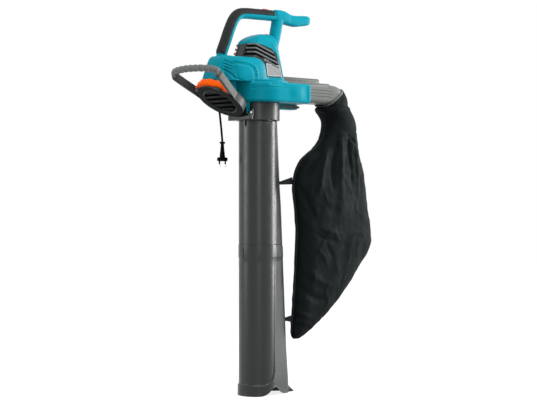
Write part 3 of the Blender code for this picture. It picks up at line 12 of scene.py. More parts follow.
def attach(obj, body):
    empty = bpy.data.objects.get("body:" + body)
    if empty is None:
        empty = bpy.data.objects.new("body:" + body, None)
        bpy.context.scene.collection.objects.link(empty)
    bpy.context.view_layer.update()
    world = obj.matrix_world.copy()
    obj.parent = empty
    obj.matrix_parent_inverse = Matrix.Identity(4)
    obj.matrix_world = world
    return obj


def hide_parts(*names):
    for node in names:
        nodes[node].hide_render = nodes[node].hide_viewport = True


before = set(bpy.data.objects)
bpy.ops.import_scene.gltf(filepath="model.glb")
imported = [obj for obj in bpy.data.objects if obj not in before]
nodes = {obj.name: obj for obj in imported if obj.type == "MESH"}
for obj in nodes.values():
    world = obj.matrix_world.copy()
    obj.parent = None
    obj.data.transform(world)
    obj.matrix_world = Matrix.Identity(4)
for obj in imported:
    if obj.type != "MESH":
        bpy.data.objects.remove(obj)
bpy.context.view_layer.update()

# The fan axis and the floor of the fan housing, as the solids have them
AXIS = Vector((0.012, 0.0, -0.279))
TO_ROW = Matrix.Translation(AXIS)
FLOOR_Z = -1.1965

# Camera: level, turned 40 degrees, far enough back for the photograph's gentle perspective
VIEW_TURN = math.radians(40.0)
CAMERA_BACK = 4.40
CAMERA_RIGHT = 0.0331
CAMERA_DROP = -0.3204
LENS = 93.64
SENSOR = 36.0
PICTURE_WIDTH = 537.0
MIDDLE_PX, MIDDLE_PY = 268.5, 205.0
FOCAL = LENS / SENSOR * PICTURE_WIDTH
VIEW_COS, VIEW_SIN = math.cos(VIEW_TURN), math.sin(VIEW_TURN)

# Sizes repeated from the solids
GAP = 0.0003
FAN_DEPTH = 0.060
SEAM = 0.0646
CAP_SEAM_Z = 0.182
CAP_HEIGHT = 0.036
SHOULDER_TOP_Z = 0.137
GRIP_X = -0.012
GRIP_Z = 0.279
HANDLE_DEPTH = 0.0340
HANDLE_WIDTH = 0.0330
GRIP_SKIN = 0.0032
GRIP_HALF_ANGLE = math.radians(96.0)
TUBE_R = 0.0605
TUBE_WALL = 0.0025
COLLAR_R = 0.0685
COLLAR_LENGTH = 0.056
UPPER_TUBE_END = -0.444
TUBE_SOCKET = 0.055
MOUTH_Z = -0.917
HOOK_X = -0.0720
HOOK_Y = 0.0480
HOOK_Z = -0.0340
HUB_X = -0.152
HUB_Z = -0.004
HUB_LEAN = math.radians(57.5)
HUB_R = 0.0780
HUB_DEPTH = 0.0280
CORE_R = 0.0565
LOUVRE_R = 0.0590
ELBOW_X = 0.262
ELBOW_Y = -0.060
ELBOW_R = 0.0470
ELBOW_END_Z = -0.006
WIRE_R = 0.0013


def picture_of(x, y, z):
    """Where a point about the fan axis shows in the picture, in its pixels."""
    scale = FOCAL / (CAMERA_BACK + x * VIEW_SIN + y * VIEW_COS)
    return (MIDDLE_PX + scale * (x * VIEW_COS - y * VIEW_SIN - CAMERA_RIGHT),
            MIDDLE_PY - scale * (z - CAMERA_DROP))


def at(x, y, z):
    """A point given about the fan axis, in the row's own frame."""
    return AXIS + Vector((x, y, z))


def from_view(px, py, y):
    """Where a place in the picture lies in an upright plane at y, as (x, z) about the fan axis."""
    right = (px - MIDDLE_PX) / FOCAL
    back = CAMERA_BACK + y * VIEW_COS
    x = (CAMERA_RIGHT + right * back + y * VIEW_SIN) / (VIEW_COS - right * VIEW_SIN)
    depth = CAMERA_BACK + x * VIEW_SIN + y * VIEW_COS
    return x, CAMERA_DROP - (py - MIDDLE_PY) / FOCAL * depth


def clamp(share):
    return min(max(share, 0.0), 1.0)


def eased(share):
    return share * share * (3.0 - 2.0 * share)


def between(value, low, high, soft):
    """1 inside a range and 0 outside, with soft shoulders."""
    return eased(min(clamp((value - low) / soft), clamp((high - value) / soft)))


def placed(name, data):
    """An object of its own in the scene."""
    item = bpy.data.objects.new(name, data)
    bpy.context.scene.collection.objects.link(item)
    return item


def mesh_data(name, mesh):
    """Turns a form under construction into mesh data."""
    data = bpy.data.meshes.new(name)
    mesh.to_mesh(data)
    mesh.free()
    return data


def filled(node, values):
    """A shader node with some of its inputs set by name."""
    for name, value in values.items():
        node.inputs[name].default_value = value
    return node


# Studio: each lamp's turn to the camera's right and lift in degrees, distance, size and power

STUDIO_MIDDLE = at(0.05, 0.0, -0.35)
SOFTBOXES = {
    "key_light": (60.0, 40.0, 3.0, (1.0, 1.0), 42.0),
    "right_strip": (108.0, 8.0, 2.6, (0.62, 1.7), 84.0),
    "front_strip": (6.0, 9.0, 3.0, (0.30, 1.5), 13.0),
    "left_strip": (-78.0, 9.0, 2.6, (0.85, 1.25), 26.0),
    "top_light": (-14.0, 70.0, 2.6, (1.4, 1.4), 26.0),
}
WHITE = (1.0, 1.0, 1.0, 1.0)
FILL_COLOUR = (0.94, 0.97, 1.0, 1.0)
FILL_STRENGTH = 0.20
FLOOR_GREY = (0.34, 0.34, 0.34, 1.0)
FLOOR_R = 9.0
# The floor's glow by distance: weaker near the object, where its soft shadow shows, than far away
FLOOR_GLOW = {"From Min": 1.25, "From Max": 2.2, "To Min": 0.82, "To Max": 1.0}


def make_camera():
    right = Vector((VIEW_COS, -VIEW_SIN, 0.0))
    ahead = Vector((VIEW_SIN, VIEW_COS, 0.0))
    data = bpy.data.cameras.new("photo_camera")
    data.lens = LENS
    data.sensor_width = SENSOR
    data.clip_end = 60.0
    camera = placed("photo_camera", data)
    camera.location = AXIS - ahead * CAMERA_BACK + right * CAMERA_RIGHT + Vector((0.0, 0.0, CAMERA_DROP))
    camera.rotation_euler = (math.pi / 2, 0.0, -VIEW_TURN)
    bpy.context.scene.camera = camera


def make_lights():
    """Soft lamps round the object, all turned to its middle."""
    for name, (turn, lift, away, size, power) in SOFTBOXES.items():
        turn, lift = math.radians(turn) - VIEW_TURN, math.radians(lift)
        data = bpy.data.lights.new(name, "AREA")
        data.shape = "RECTANGLE"
        data.size, data.size_y = size
        data.energy = power
        lamp = placed(name, data)
        lamp.location = STUDIO_MIDDLE + Vector((math.sin(turn) * math.cos(lift), -math.cos(turn) * math.cos(lift),
                                                math.sin(lift))) * away
        lamp.rotation_euler = (STUDIO_MIDDLE - lamp.location).to_track_quat("-Z", "Y").to_euler()


def ray_share(tree):
    """1 for what the camera, a mirror or glass sees of the pale surroundings, otherwise 0."""
    path = tree.nodes.new("ShaderNodeLightPath")
    share = path.outputs["Is Camera Ray"]
    for kind in ("Is Glossy Ray", "Is Transmission Ray"):
        step = tree.nodes.new("ShaderNodeMath")
        step.operation = "MAXIMUM"
        tree.links.new(path.outputs[kind], step.inputs[0])
        tree.links.new(share, step.inputs[1])
        share = step.outputs[0]
    return share


def make_world():
    """White where it is seen or mirrored, and a faint fill as light."""
    world = bpy.data.worlds.new("studio")
    bpy.context.scene.world = world
    world.use_nodes = True
    tree = world.node_tree
    tree.nodes.clear()
    out = tree.nodes.new("ShaderNodeOutputWorld")
    shown = filled(tree.nodes.new("ShaderNodeBackground"), {"Color": WHITE, "Strength": 1.0})
    fill = filled(tree.nodes.new("ShaderNodeBackground"), {"Color": FILL_COLOUR, "Strength": FILL_STRENGTH})
    choose = tree.nodes.new("ShaderNodeMixShader")
    tree.links.new(ray_share(tree), choose.inputs["Fac"])
    tree.links.new(fill.outputs[0], choose.inputs[1])
    tree.links.new(shown.outputs[0], choose.inputs[2])
    tree.links.new(choose.outputs[0], out.inputs["Surface"])


def make_floor():
    """A pale disc that glows white for the camera and stays grey as a lit surface."""
    mesh = bmesh.new()
    bmesh.ops.create_circle(mesh, cap_ends=True, radius=FLOOR_R, segments=64)
    bmesh.ops.translate(mesh, verts=mesh.verts, vec=(0.0, 0.0, FLOOR_Z))
    floor = placed("studio_floor", mesh_data("studio_floor", mesh))
    paint = bpy.data.materials.new("pale_floor")
    paint.use_nodes = True
    tree = paint.node_tree
    shader = filled(tree.nodes["Principled BSDF"], {
        "Base Color": FLOOR_GREY, "Roughness": 0.9, "Specular IOR Level": 0.0, "Emission Color": WHITE})
    place = tree.nodes.new("ShaderNodeTexCoord")
    away = tree.nodes.new("ShaderNodeVectorMath")
    away.operation = "LENGTH"
    tree.links.new(place.outputs["Object"], away.inputs[0])
    edge = filled(tree.nodes.new("ShaderNodeMapRange"), FLOOR_GLOW)
    tree.links.new(away.outputs["Value"], edge.inputs["Value"])
    glow = tree.nodes.new("ShaderNodeMath")
    glow.operation = "MULTIPLY"
    tree.links.new(edge.outputs["Result"], glow.inputs[1])
    tree.links.new(ray_share(tree), glow.inputs[0])
    tree.links.new(glow.outputs[0], shader.inputs["Emission Strength"])
    floor.data.materials.append(paint)


# Materials

class Finish:
    """A Principled material under construction, with short calls for the nodes that feed it."""

    def __init__(self, name, colour, roughness, metallic=0.0, gloss=0.5):
        self.material = bpy.data.materials.new(name)
        self.material.use_nodes = True
        self.tree = self.material.node_tree
        self.shader = filled(self.tree.nodes["Principled BSDF"], {
            "Base Color": (*colour, 1.0), "Roughness": roughness, "Metallic": metallic,
            "Specular IOR Level": gloss})
        self.colour = colour
        self.place = self.node("TexCoord").outputs["Object"]
        self.normal = None

    def node(self, kind, inputs=None, **values):
        made = self.tree.nodes.new("ShaderNode" + kind)
        for key, value in values.items():
            setattr(made, key, value)
        return filled(made, inputs or {})

    def link(self, output, target):
        self.tree.links.new(output, target)

    def stretch(self, scale):
        mapping = self.node("Mapping", {"Scale": scale})
        self.link(self.place, mapping.inputs["Vector"])
        return mapping.outputs["Vector"]

    def noise(self, scale, detail=3.0, roughness=0.5, place=None):
        made = self.node("TexNoise", {"Scale": scale, "Detail": detail, "Roughness": roughness})
        self.link(place or self.place, made.inputs["Vector"])
        return made.outputs["Fac"]

    def span(self, value, low, high, to_low, to_high):
        made = self.node("MapRange", {"From Min": low, "From Max": high, "To Min": to_low, "To Max": to_high})
        self.link(value, made.inputs["Value"])
        return made.outputs["Result"]

    def times(self, first, second):
        made = self.node("Math", operation="MULTIPLY")
        self.link(first, made.inputs[0])
        self.link(second, made.inputs[1])
        return made.outputs[0]

    def tint(self, share, colour):
        """Mixes another colour into the base colour by a share that varies over the surface."""
        mix = self.node("Mix", data_type="RGBA")
        target = self.shader.inputs["Base Color"]
        if target.is_linked:
            self.link(target.links[0].from_socket, mix.inputs[6])
        else:
            mix.inputs[6].default_value = (*self.colour, 1.0)
        mix.inputs[7].default_value = (*colour, 1.0)
        self.link(share, mix.inputs[0])
        self.link(mix.outputs[2], target)

    def vary_roughness(self, value, low, high):
        self.link(self.span(value, 0.3, 0.7, low, high), self.shader.inputs["Roughness"])

    def bump(self, height, strength, distance):
        made = self.node("Bump", {"Strength": strength, "Distance": distance})
        self.link(height, made.inputs["Height"])
        if self.normal is not None:
            self.link(self.normal, made.inputs["Normal"])
        self.normal = made.outputs["Normal"]
        self.link(self.normal, self.shader.inputs["Normal"])

    def worn_edges(self, colour, low=0.55, high=0.63, amount=0.35):
        """Lighter, rubbed edges where the surface is sharply convex."""
        sharp = self.span(self.node("NewGeometry").outputs["Pointiness"], low, high, 0.0, amount)
        self.tint(self.times(sharp, self.span(self.noise(60.0, 4.0), 0.35, 0.65, 0.25, 1.0)), colour)

    def parting_line(self, depth=0.0004):
        """The fine joint between the two halves, in the plane of symmetry."""
        axes = self.node("SeparateXYZ")
        self.link(self.place, axes.inputs[0])
        away = self.node("Math", operation="ABSOLUTE")
        self.link(axes.outputs["Y"], away.inputs[0])
        groove = self.span(away.outputs[0], 0.0002, 0.0006, 1.0, 0.0)
        self.tint(self.times(groove, self.span(self.noise(30.0), 0.2, 0.8, 0.45, 0.65)), (0.004, 0.03, 0.04))
        self.bump(self.span(groove, 0.0, 1.0, 1.0, 0.0), 0.8, depth)


def moulded(name, colour, roughness, gloss=0.3, grain=0.15, cloud=0.10, seam=False):
    """Injection-moulded plastic: fine spark-eroded grain, faint flow clouding and rubbed edges."""
    made = Finish(name, colour, roughness, gloss=gloss)
    made.tint(made.span(made.noise(9.0, 4.0, 0.6), 0.35, 0.75, 0.0, cloud),
              tuple(min(1.0, c * 1.25 + 0.003) for c in colour))
    made.worn_edges(tuple(min(1.0, c * 1.5 + 0.02) for c in colour))
    made.vary_roughness(made.noise(34.0, 5.0, 0.6), roughness - 0.04, roughness + 0.06)
    made.bump(made.noise(1500.0, 2.0), grain, 0.00010)
    if seam:
        made.parting_line()
    return made.material


def soft_grip():
    """Black soft grip, moulded with rows of small raised dots."""
    made = Finish("grip_rubber", (0.014, 0.015, 0.015), 0.60, gloss=0.12)
    dots = made.node("TexVoronoi", {"Scale": 300.0, "Randomness": 0.0}, feature="F1")
    made.link(made.place, dots.inputs["Vector"])
    raised = made.span(dots.outputs["Distance"], 0.22, 0.42, 1.0, 0.0)
    made.tint(made.span(raised, 0.0, 1.0, 0.0, 0.40), (0.040, 0.043, 0.043))
    made.tint(made.span(made.noise(24.0, 4.0), 0.5, 0.8, 0.0, 0.3), (0.030, 0.032, 0.032))
    made.vary_roughness(made.noise(40.0, 4.0), 0.52, 0.70)
    made.bump(raised, 0.5, 0.0005)
    made.bump(made.noise(900.0, 2.0), 0.3, 0.0001)
    return made.material


def turned_metal(name, colour, roughness):
    """Bare metal with fine tool lines and a few dull patches."""
    made = Finish(name, colour, roughness, 1.0)
    lines = made.noise(1.0, 4.0, 0.6, made.stretch((160.0, 160.0, 2600.0)))
    made.vary_roughness(lines, roughness - 0.06, roughness + 0.12)
    made.tint(made.span(made.noise(70.0, 4.0), 0.5, 0.75, 0.0, 0.35), tuple(c * 0.7 for c in colour))
    made.bump(lines, 0.25, 0.00008)
    return made.material


def silver_plate():
    """Brushed and lacquered aluminium foil of the bare plate."""
    made = Finish("silver_plate", (0.30, 0.305, 0.298), 0.42, 0.0, gloss=0.3)
    lines = made.noise(1.0, 3.0, 0.6, made.stretch((30.0, 700.0, 2400.0)))
    made.vary_roughness(lines, 0.26, 0.42)
    made.tint(made.span(made.noise(55.0, 3.0), 0.45, 0.8, 0.0, 0.25), (0.28, 0.29, 0.29))
    made.bump(lines, 0.15, 0.00005)
    return made.material


def woven(name, colour, lift, scale=420.0):
    """Black polyester with a plain weave, slight fading and soft sheen."""
    made = Finish(name, colour, 0.60, gloss=0.03)
    weave = []
    for direction in ("X", "Z"):
        wave = made.node("TexWave", {"Scale": scale, "Distortion": 0.6, "Detail": 1.0},
                         wave_type="BANDS", bands_direction=direction)
        made.link(made.place, wave.inputs["Vector"])
        weave.append(wave.outputs["Fac"])
    cross = made.times(weave[0], weave[1])
    made.tint(made.span(made.noise(7.0, 5.0, 0.65), 0.45, 0.8, 0.0, 0.45), lift)
    made.tint(made.span(cross, 0.2, 0.9, 0.0, 0.30), tuple(c * 1.3 for c in lift))
    made.vary_roughness(made.noise(26.0, 4.0), 0.52, 0.70)
    made.bump(cross, 0.40, 0.0003)
    made.bump(made.noise(38.0, 3.0, 0.55), 0.22, 0.0035)
    return made.material


def make_materials():
    return {
        "teal": moulded("teal_housing", (0.0, 0.268, 0.350), 0.36, 0.06, seam=True),
        "tube": moulded("dark_grey_tube", (0.0175, 0.0210, 0.0200), 0.34, 0.34, 0.01, 0.04),
        "grey": moulded("mid_grey_moulding", (0.160, 0.170, 0.160), 0.34, 0.14),
        # Dark grey for two marks: the louvre rim's painted highlight against the black louvres, and painted shade in
        # the duct's engraved lines
        "dark": moulded("rim_highlight_and_groove_shade", (0.034, 0.037, 0.036), 0.40, 0.08),
        # The lanes behind the duct: the grey moulding darkened, painted shade
        "lane": moulded("outlet_lane_painted_shade", (0.118, 0.126, 0.119), 0.34, 0.14),
        # The turning handle's one grey plastic in three copies: dark for the arms (painted shade), light for the grip
        # (painted light), between for the drum (painted half shade)
        "handle": moulded("handle_arm_painted_shade", (0.043, 0.047, 0.046), 0.36, 0.12),
        "painted_light_grip": moulded("handle_grip_painted_light", (0.155, 0.164, 0.159), 0.36, 0.12),
        "drum": moulded("handle_drum_painted_half_shade", (0.078, 0.084, 0.081), 0.36, 0.12),
        "black": moulded("black_plastic", (0.0055, 0.0062, 0.0068), 0.42, 0.02),
        # The vent bars: the cover's black plastic painted light grey, a painted highlight along each bar
        "bar": moulded("vent_bar_painted_highlight", (0.150, 0.158, 0.155), 0.22, 0.25),
        "cover": moulded("vent_plastic", (0.030, 0.033, 0.032), 0.24, 0.20),
        "orange": moulded("orange_plastic", (1.0, 0.115, 0.002), 0.40, 0.08),
        "red": moulded("red_switch", (0.62, 0.03, 0.015), 0.34),
        "rubber": soft_grip(),
        "plate": silver_plate(),
        "silver": moulded("plate_border", (0.62, 0.63, 0.62), 0.35, 0.4),
        "steel": turned_metal("bright_steel", (0.62, 0.62, 0.63), 0.22),
        "copper": turned_metal("copper_winding", (0.72, 0.30, 0.14), 0.34),
        "iron": turned_metal("laminated_iron", (0.22, 0.22, 0.23), 0.42),
        "cloth": woven("black_polyester", (0.0070, 0.0098, 0.0100), (0.0165, 0.0215, 0.0220)),
        "webbing": woven("black_webbing", (0.030, 0.032, 0.032), (0.055, 0.058, 0.058), 900.0),
    }


# Mesh helpers; every form is drawn about the fan axis and moved to the row's frame at the end

def smooth_path(points, steps):
    """A Catmull-Rom curve through given points of any dimension, steps to each stretch."""
    fixed = [np.array(p, float) for p in points]
    fixed = [2 * fixed[0] - fixed[1]] + fixed + [2 * fixed[-1] - fixed[-2]]
    path = []
    for i in range(1, len(fixed) - 2):
        a, b, c, d = fixed[i - 1:i + 3]
        for k in range(steps):
            t = k / steps
            path.append(0.5 * ((2 * b) + (c - a) * t + (2 * a - 5 * b + 4 * c - d) * t * t
                               + (3 * b - a - 3 * c + d) * t ** 3))
    path.append(fixed[-2])
    return path


def rings_mesh(rings, looped=False, ends=True):
    """Joins rings of points, each with the same count, into one surface."""
    mesh = bmesh.new()
    rows = [[mesh.verts.new(p) for p in ring] for ring in rings]
    pairs = list(zip(rows, rows[1:]))
    if looped:
        pairs.append((rows[-1], rows[0]))
    for low, high in pairs:
        count = max(len(low), len(high))
        for i in range(count):
            j = (i + 1) % count
            if len(low) == 1:
                mesh.faces.new((low[0], high[j], high[i]))
            elif len(high) == 1:
                mesh.faces.new((low[i], low[j], high[0]))
            else:
                mesh.faces.new((low[i], low[j], high[j], high[i]))
    if ends and not looped:
        if len(rows[0]) > 2:
            mesh.faces.new(rows[0][::-1])
        if len(rows[-1]) > 2:
            mesh.faces.new(rows[-1])
    bmesh.ops.recalc_face_normals(mesh, faces=mesh.faces)
    return mesh


def oval(half_x, half_y, power, count):
    """A superellipse: 2 is an ellipse, and a higher power makes it squarer."""
    points = []
    for i in range(count):
        turn = 2.0 * math.pi * (i + 0.5) / count
        c, s = math.cos(turn), math.sin(turn)
        points.append((half_x * math.copysign(abs(c) ** (2.0 / power), c),
                       half_y * math.copysign(abs(s) ** (2.0 / power), s)))
    return points


def polar(radius, turn):
    return radius * math.cos(turn), radius * math.sin(turn)


def arc(centre, radius, start, end, count):
    """Points on an arc, from one angle in degrees to another."""
    points = []
    for i in range(count):
        turn = math.radians(start + (end - start) * i / (count - 1))
        points.append((centre[0] + radius * math.cos(turn), centre[1] + radius * math.sin(turn)))
    return points


def rounded(outline, cut, steps=6):
    """A flat outline with its corners rounded off."""
    points = []
    for i, corner in enumerate(outline):
        here = Vector(corner)
        back = Vector(outline[i - 1]) - here
        ahead = Vector(outline[(i + 1) % len(outline)]) - here
        a = here + back.normalized() * min(cut, back.length * 0.45)
        b = here + ahead.normalized() * min(cut, ahead.length * 0.45)
        for k in range(steps):
            t = k / (steps - 1)
            points.append(tuple(a * (1 - t) ** 2 + here * (2 * t * (1 - t)) + b * t * t))
    return points


def shrunk(outline, inset):
    """A flat outline moved inwards along its corner bisectors."""
    count = len(outline)
    area = sum(outline[i - 1][0] * outline[i][1] - outline[i][0] * outline[i - 1][1] for i in range(count))
    sign = 1.0 if area > 0 else -1.0
    points = []
    for i, here in enumerate(outline):
        ahead = outline[(i + 1) % count]
        before = outline[i - 1]
        along = Vector((ahead[0] - before[0], ahead[1] - before[1])).normalized()
        points.append((here[0] - along.y * inset * sign, here[1] + along.x * inset * sign))
    return points


def plate(outline, low, high, edge, turned=None):
    """A flat outline made into a plate with rounded rims; turned puts (a, b, height) in space."""
    turned = turned or (lambda a, b, h: (a, b, h))
    levels = ((low, edge), (low + edge * 0.3, edge * 0.3), (low + edge, 0.0), (high - edge, 0.0),
              (high - edge * 0.3, edge * 0.3), (high, edge))
    return rings_mesh([[turned(a, b, h) for a, b in shrunk(outline, inset)] for h, inset in levels])


def upright_plate(outline, near, far, edge):
    """A plate whose outline lies in the plane of symmetry, between two depths in any order."""
    return plate(outline, min(near, far), max(near, far), edge, lambda a, b, h: (a, h, b))


def revolve(profile, steps=96):
    """Turns a closed (radius, height) profile about Z."""
    rings = []
    for radius, height in profile:
        if radius < 1e-6:
            rings.append([(0.0, 0.0, height)])
        else:
            rings.append([(*polar(radius, 2 * math.pi * i / steps), height) for i in range(steps)])
    closed = profile[0][0] < 1e-6 or profile[-1][0] < 1e-6
    return rings_mesh(rings, looped=not closed)


def box(low, high):
    corners = ((low[0], low[1]), (high[0], low[1]), (high[0], high[1]), (low[0], high[1]))
    return rings_mesh([[(x, y, z) for x, y in corners] for z in (low[2], high[2])])


def side_prism(outline, near, far):
    return rings_mesh([[(x, near, z) for x, z in outline], [(x, far, z) for x, z in outline]])


def rod(radius, low, high, steps=64):
    return revolve([(0.0, low), (radius, low), (radius, high), (0.0, high)], steps)


def way_at(points, i):
    """The direction of an open route at one of its points."""
    return (points[min(i + 1, len(points) - 1)] - points[max(i - 1, 0)]).normalized()


def sweep(path, section, side, looped=False):
    """Carries a section, given by its share of the way, along a flat path."""
    side = Vector(side)
    count = len(path)
    points = [Vector(p) for p in path]
    rings = []
    for i in range(count):
        ahead = (points[(i + 1) % count] - points[i - 1]).normalized() if looped else way_at(points, i)
        outward = side.cross(ahead).normalized()
        rings.append([points[i] + outward * a + side * b for a, b in section(i / (count - 1))])
    return rings_mesh(rings, looped)


def moved(mesh, matrix):
    bmesh.ops.transform(mesh, matrix=matrix, verts=mesh.verts)
    return mesh


def cross_rod(radius, reach, steps, x, z):
    """A rod that lies along y."""
    place = Matrix.Translation((x, 0, z)) @ Matrix.Rotation(math.pi / 2, 4, "X")
    return moved(rod(radius, -reach, reach, steps), place)


def joined(meshes):
    """Several closed forms in one mesh."""
    total = bmesh.new()
    for mesh in meshes:
        data = mesh_data("part_form", mesh)
        total.from_mesh(data)
        bpy.data.meshes.remove(data)
    return total


def shaped(mesh, tools=(), voxel=None, smooth=0, operation="DIFFERENCE"):
    """Runs a form through an optional voxel remesh and smoothing, then cuts tools from it."""
    item = placed("form", mesh_data("form", mesh))
    if voxel:
        step = item.modifiers.new("remesh", "REMESH")
        step.mode = "VOXEL"
        step.voxel_size = voxel
    if smooth:
        step = item.modifiers.new("smooth", "SMOOTH")
        step.factor = 0.5
        step.iterations = smooth
    helpers = []
    for tool in tools:
        helper = placed("form", mesh_data("form", tool))
        helpers.append(helper)
        step = item.modifiers.new("cut", "BOOLEAN")
        step.operation = operation
        step.solver = "MANIFOLD"
        step.object = helper
    graph = bpy.context.evaluated_depsgraph_get()
    data = bpy.data.meshes.new_from_object(item.evaluated_get(graph))
    result = bmesh.new()
    result.from_mesh(data)
    for helper in [item] + helpers:
        bpy.data.objects.remove(helper, do_unlink=True)
    return result


def piece(name, mesh, paints, body="machine", sharp=35.0, frame_of=TO_ROW):
    """Puts a finished form into the scene, painted, smoothed and riding on a body."""
    data = mesh_data(name, mesh)
    data.transform(frame_of)
    for paint in paints if isinstance(paints, (list, tuple)) else [paints]:
        data.materials.append(paint)
    data.shade_smooth()
    data.set_sharp_from_angle(angle=math.radians(sharp))
    item = placed(name, data)
    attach(item, body)
    return item


# Mains cord

CORD_R = 0.0034
GLAND_R = 0.0085
GLAND_START = (-0.0985, 0.0640, 0.0860)
CORD_ROUTE = (
    (-0.0950, 0.0905, 0.0560), (-0.0936, 0.0952, 0.0482), (-0.0912, 0.0976, 0.0380),
    (-0.0880, 0.0972, 0.0240), (-0.0845, 0.0950, 0.0060), (-0.0815, 0.0935, -0.0200),
    (-0.0785, 0.0920, -0.0500), (-0.0758, 0.0905, -0.0800), (-0.0736, 0.0895, -0.1080),
    (-0.0728, 0.0890, -0.1200),
)
PIN_REACH = 0.0190
PIN_R = 0.0024
PLUG_LENGTH = 0.0495
PLUG_FLANGE = 0.0120


def make_cord(paints):
    """The hanging lead with its plug, pins and strain relief."""
    path = smooth_path(CORD_ROUTE, 3)
    curve = bpy.data.curves.new("mains_lead", "CURVE")
    curve.dimensions = "3D"
    curve.bevel_depth = CORD_R
    curve.bevel_resolution = 6
    curve.use_fill_caps = True
    curve.materials.append(paints["black"])
    spline = curve.splines.new("POLY")
    spline.points.add(len(path) - 1)
    for point, place in zip(spline.points, path):
        point.co = (*at(*place), 1.0)
    lead = placed("mains_lead", curve)
    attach(lead, "machine")
    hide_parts("mains_cord")
    plug = make_plug(paints)
    [plug] + make_pins(paints)
    make_gland(paints)


def make_pins(paints):
    """Two round pins with black sleeves at the root and rounded tips."""
    end = CORD_ROUTE[-1]
    root = end[2] - 2 * GAP - PLUG_LENGTH - PLUG_FLANGE
    pins = []
    for side, name in ((-1.0, "left"), (1.0, "right")):
        tip = root - PIN_REACH
        metal = revolve([(0.0, tip), (PIN_R * 0.5, tip + 0.0003), (PIN_R * 0.9, tip + 0.0010), (PIN_R, tip + 0.0020),
                         (PIN_R, root - 0.0100), (PIN_R * 0.9, root - 0.0098), (PIN_R * 0.9, root), (0.0, root)], 24)
        sleeve = revolve([(PIN_R * 0.92, root - 0.0096), (PIN_R, root - 0.0096), (PIN_R, root),
                          (PIN_R * 0.92, root)], 24)
        place = Matrix.Translation((end[0] + side * 0.0070, end[1] - side * 0.0060, 0.0))
        pin = piece("pin_" + name, moved(metal, place), paints["steel"])
        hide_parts("plug_pin_" + name)
        pins += [pin, piece("pin_sleeve_" + name, moved(sleeve, place), paints["black"])]
    return pins


def make_gland(paints):
    """Tapered strain relief with moulded ribs."""
    start = Vector(GLAND_START)
    reach = Vector(CORD_ROUTE[0]) - start
    way = reach.normalized()
    side = way.cross(Vector((1.0, 0.0, 0.0))).normalized()
    up = way.cross(side)
    rings = []
    count = 90
    neck, mouth = GLAND_R * 0.80, CORD_R * 1.35
    for i in range(count + 1):
        share = i / count
        radius = GLAND_R if share < 0.20 else neck + (mouth - neck) * (share - 0.20) / 0.80
        if share > 0.26:
            radius -= 0.0009 * between(math.sin(share * 58.0), 0.1, 2.0, 0.4)
        place = start + way * (reach.length * share - GAP)
        rings.append([place + (side * math.cos(k * math.pi / 16) + up * math.sin(k * math.pi / 16)) * radius
                      for k in range(32)])
    relief = piece("cord_relief", rings_mesh(rings), paints["black"])
    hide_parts("cord_gland")


def make_plug(paints):
    """Flat two-pin plug: cord collar, waisted body with grip ridges and the oval face flange."""
    end = CORD_ROUTE[-1]
    top = end[2] - GAP
    profile = ((0.0, 0.0079), (0.0007, 0.0086), (0.0053, 0.0086), (0.0060, 0.0078), (0.0066, 0.0054),
               (0.018, 0.0058), (0.028, 0.0066), (0.040, 0.0080), (PLUG_LENGTH, 0.0092))
    rings = []
    for drop, radius in smooth_path(profile, 5):
        ridge = 0.0004 * between(math.sin(drop * 1800.0), 0.2, 2.0, 0.4) * between(drop, 0.020, 0.044, 0.004)
        rings.append([(end[0] + a, end[1] + b, top - drop)
                      for a, b in oval(radius + ridge, radius * 0.86 + ridge, 2.4, 40)])
    face_top = top - PLUG_LENGTH
    flange = [(end[0] + a, end[1] + b) for a, b in oval(0.0185, 0.0135, 2.0, 56)]
    body = joined([rings_mesh(rings), plate(flange, face_top - PLUG_FLANGE, face_top, 0.0028)])
    plug = piece("plug_moulding", body, paints["black"])
    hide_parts("plug_body")
    return plug


# Teal housing: the motor tower's front, rear and half width at its foot and what they lose on the way up

TOWER_FOOT = (-0.112, 0.078, 0.056)
TOWER_TAPER = (0.049, -0.026, -0.0075)
SCROLL_END = 0.1255
HOUSING_VOXEL = 0.0015
HOUSING_SMOOTHING = 5
OUTLET_SWELL = 0.0034
SWITCH_X = GRIP_X + 0.040
SWITCH_HALF = 0.0062
VENT_PITCH = 0.0126
VENT_STEP = 0.0070
VENT_KNEE = -0.048
VENT_SLOPE = math.tan(math.radians(19.0))
VENT_SLOTS = 3


def tower_size(z):
    """The front, rear and half width of the tower at a height."""
    share = (z - FAN_DEPTH) / (CAP_SEAM_Z - FAN_DEPTH)
    return [foot + taper * share for foot, taper in zip(TOWER_FOOT, TOWER_TAPER)]


def tower_ring(z, front, rear, half):
    """A level of the tower: a rounded octagon, narrower at its nose than at its tail."""
    nose = half * 0.55
    tail = half * 0.74
    front_in = front + half * 0.36
    rear_in = rear - half * 0.30
    plan = [(front, -nose), (front_in, -half), (rear_in, -half), (rear, -tail),
            (rear, tail), (rear_in, half), (front_in, half), (front, nose)]
    return [(x, y, z) for x, y in rounded(plan, 0.011, 7)]


def tower_solid(inset, low, top_drop=0.0):
    """The tapered tower from a height up, with the domed cap that leans back."""
    rings = []
    for i in range(13):
        z = low + (CAP_SEAM_Z - low) * i / 12
        front, rear, half = tower_size(z)
        rings.append(tower_ring(z, front + inset, rear - inset, half - inset))
    front, rear, half = tower_size(CAP_SEAM_Z)
    table = ((0.0, 0.0, 0.0, 1.0), (0.30, 0.006, 0.002, 0.93), (0.62, 0.022, 0.004, 0.74),
             (0.86, 0.044, 0.006, 0.50), (0.97, 0.062, 0.010, 0.30), (1.0, 0.072, 0.016, 0.12))
    for rise, move, back, narrow in smooth_path(table, 4)[1:]:
        rings.append(tower_ring(CAP_SEAM_Z + CAP_HEIGHT * rise - top_drop, front + move + inset,
                                rear - back - inset, half * narrow - inset * narrow))
    return rings_mesh(rings)


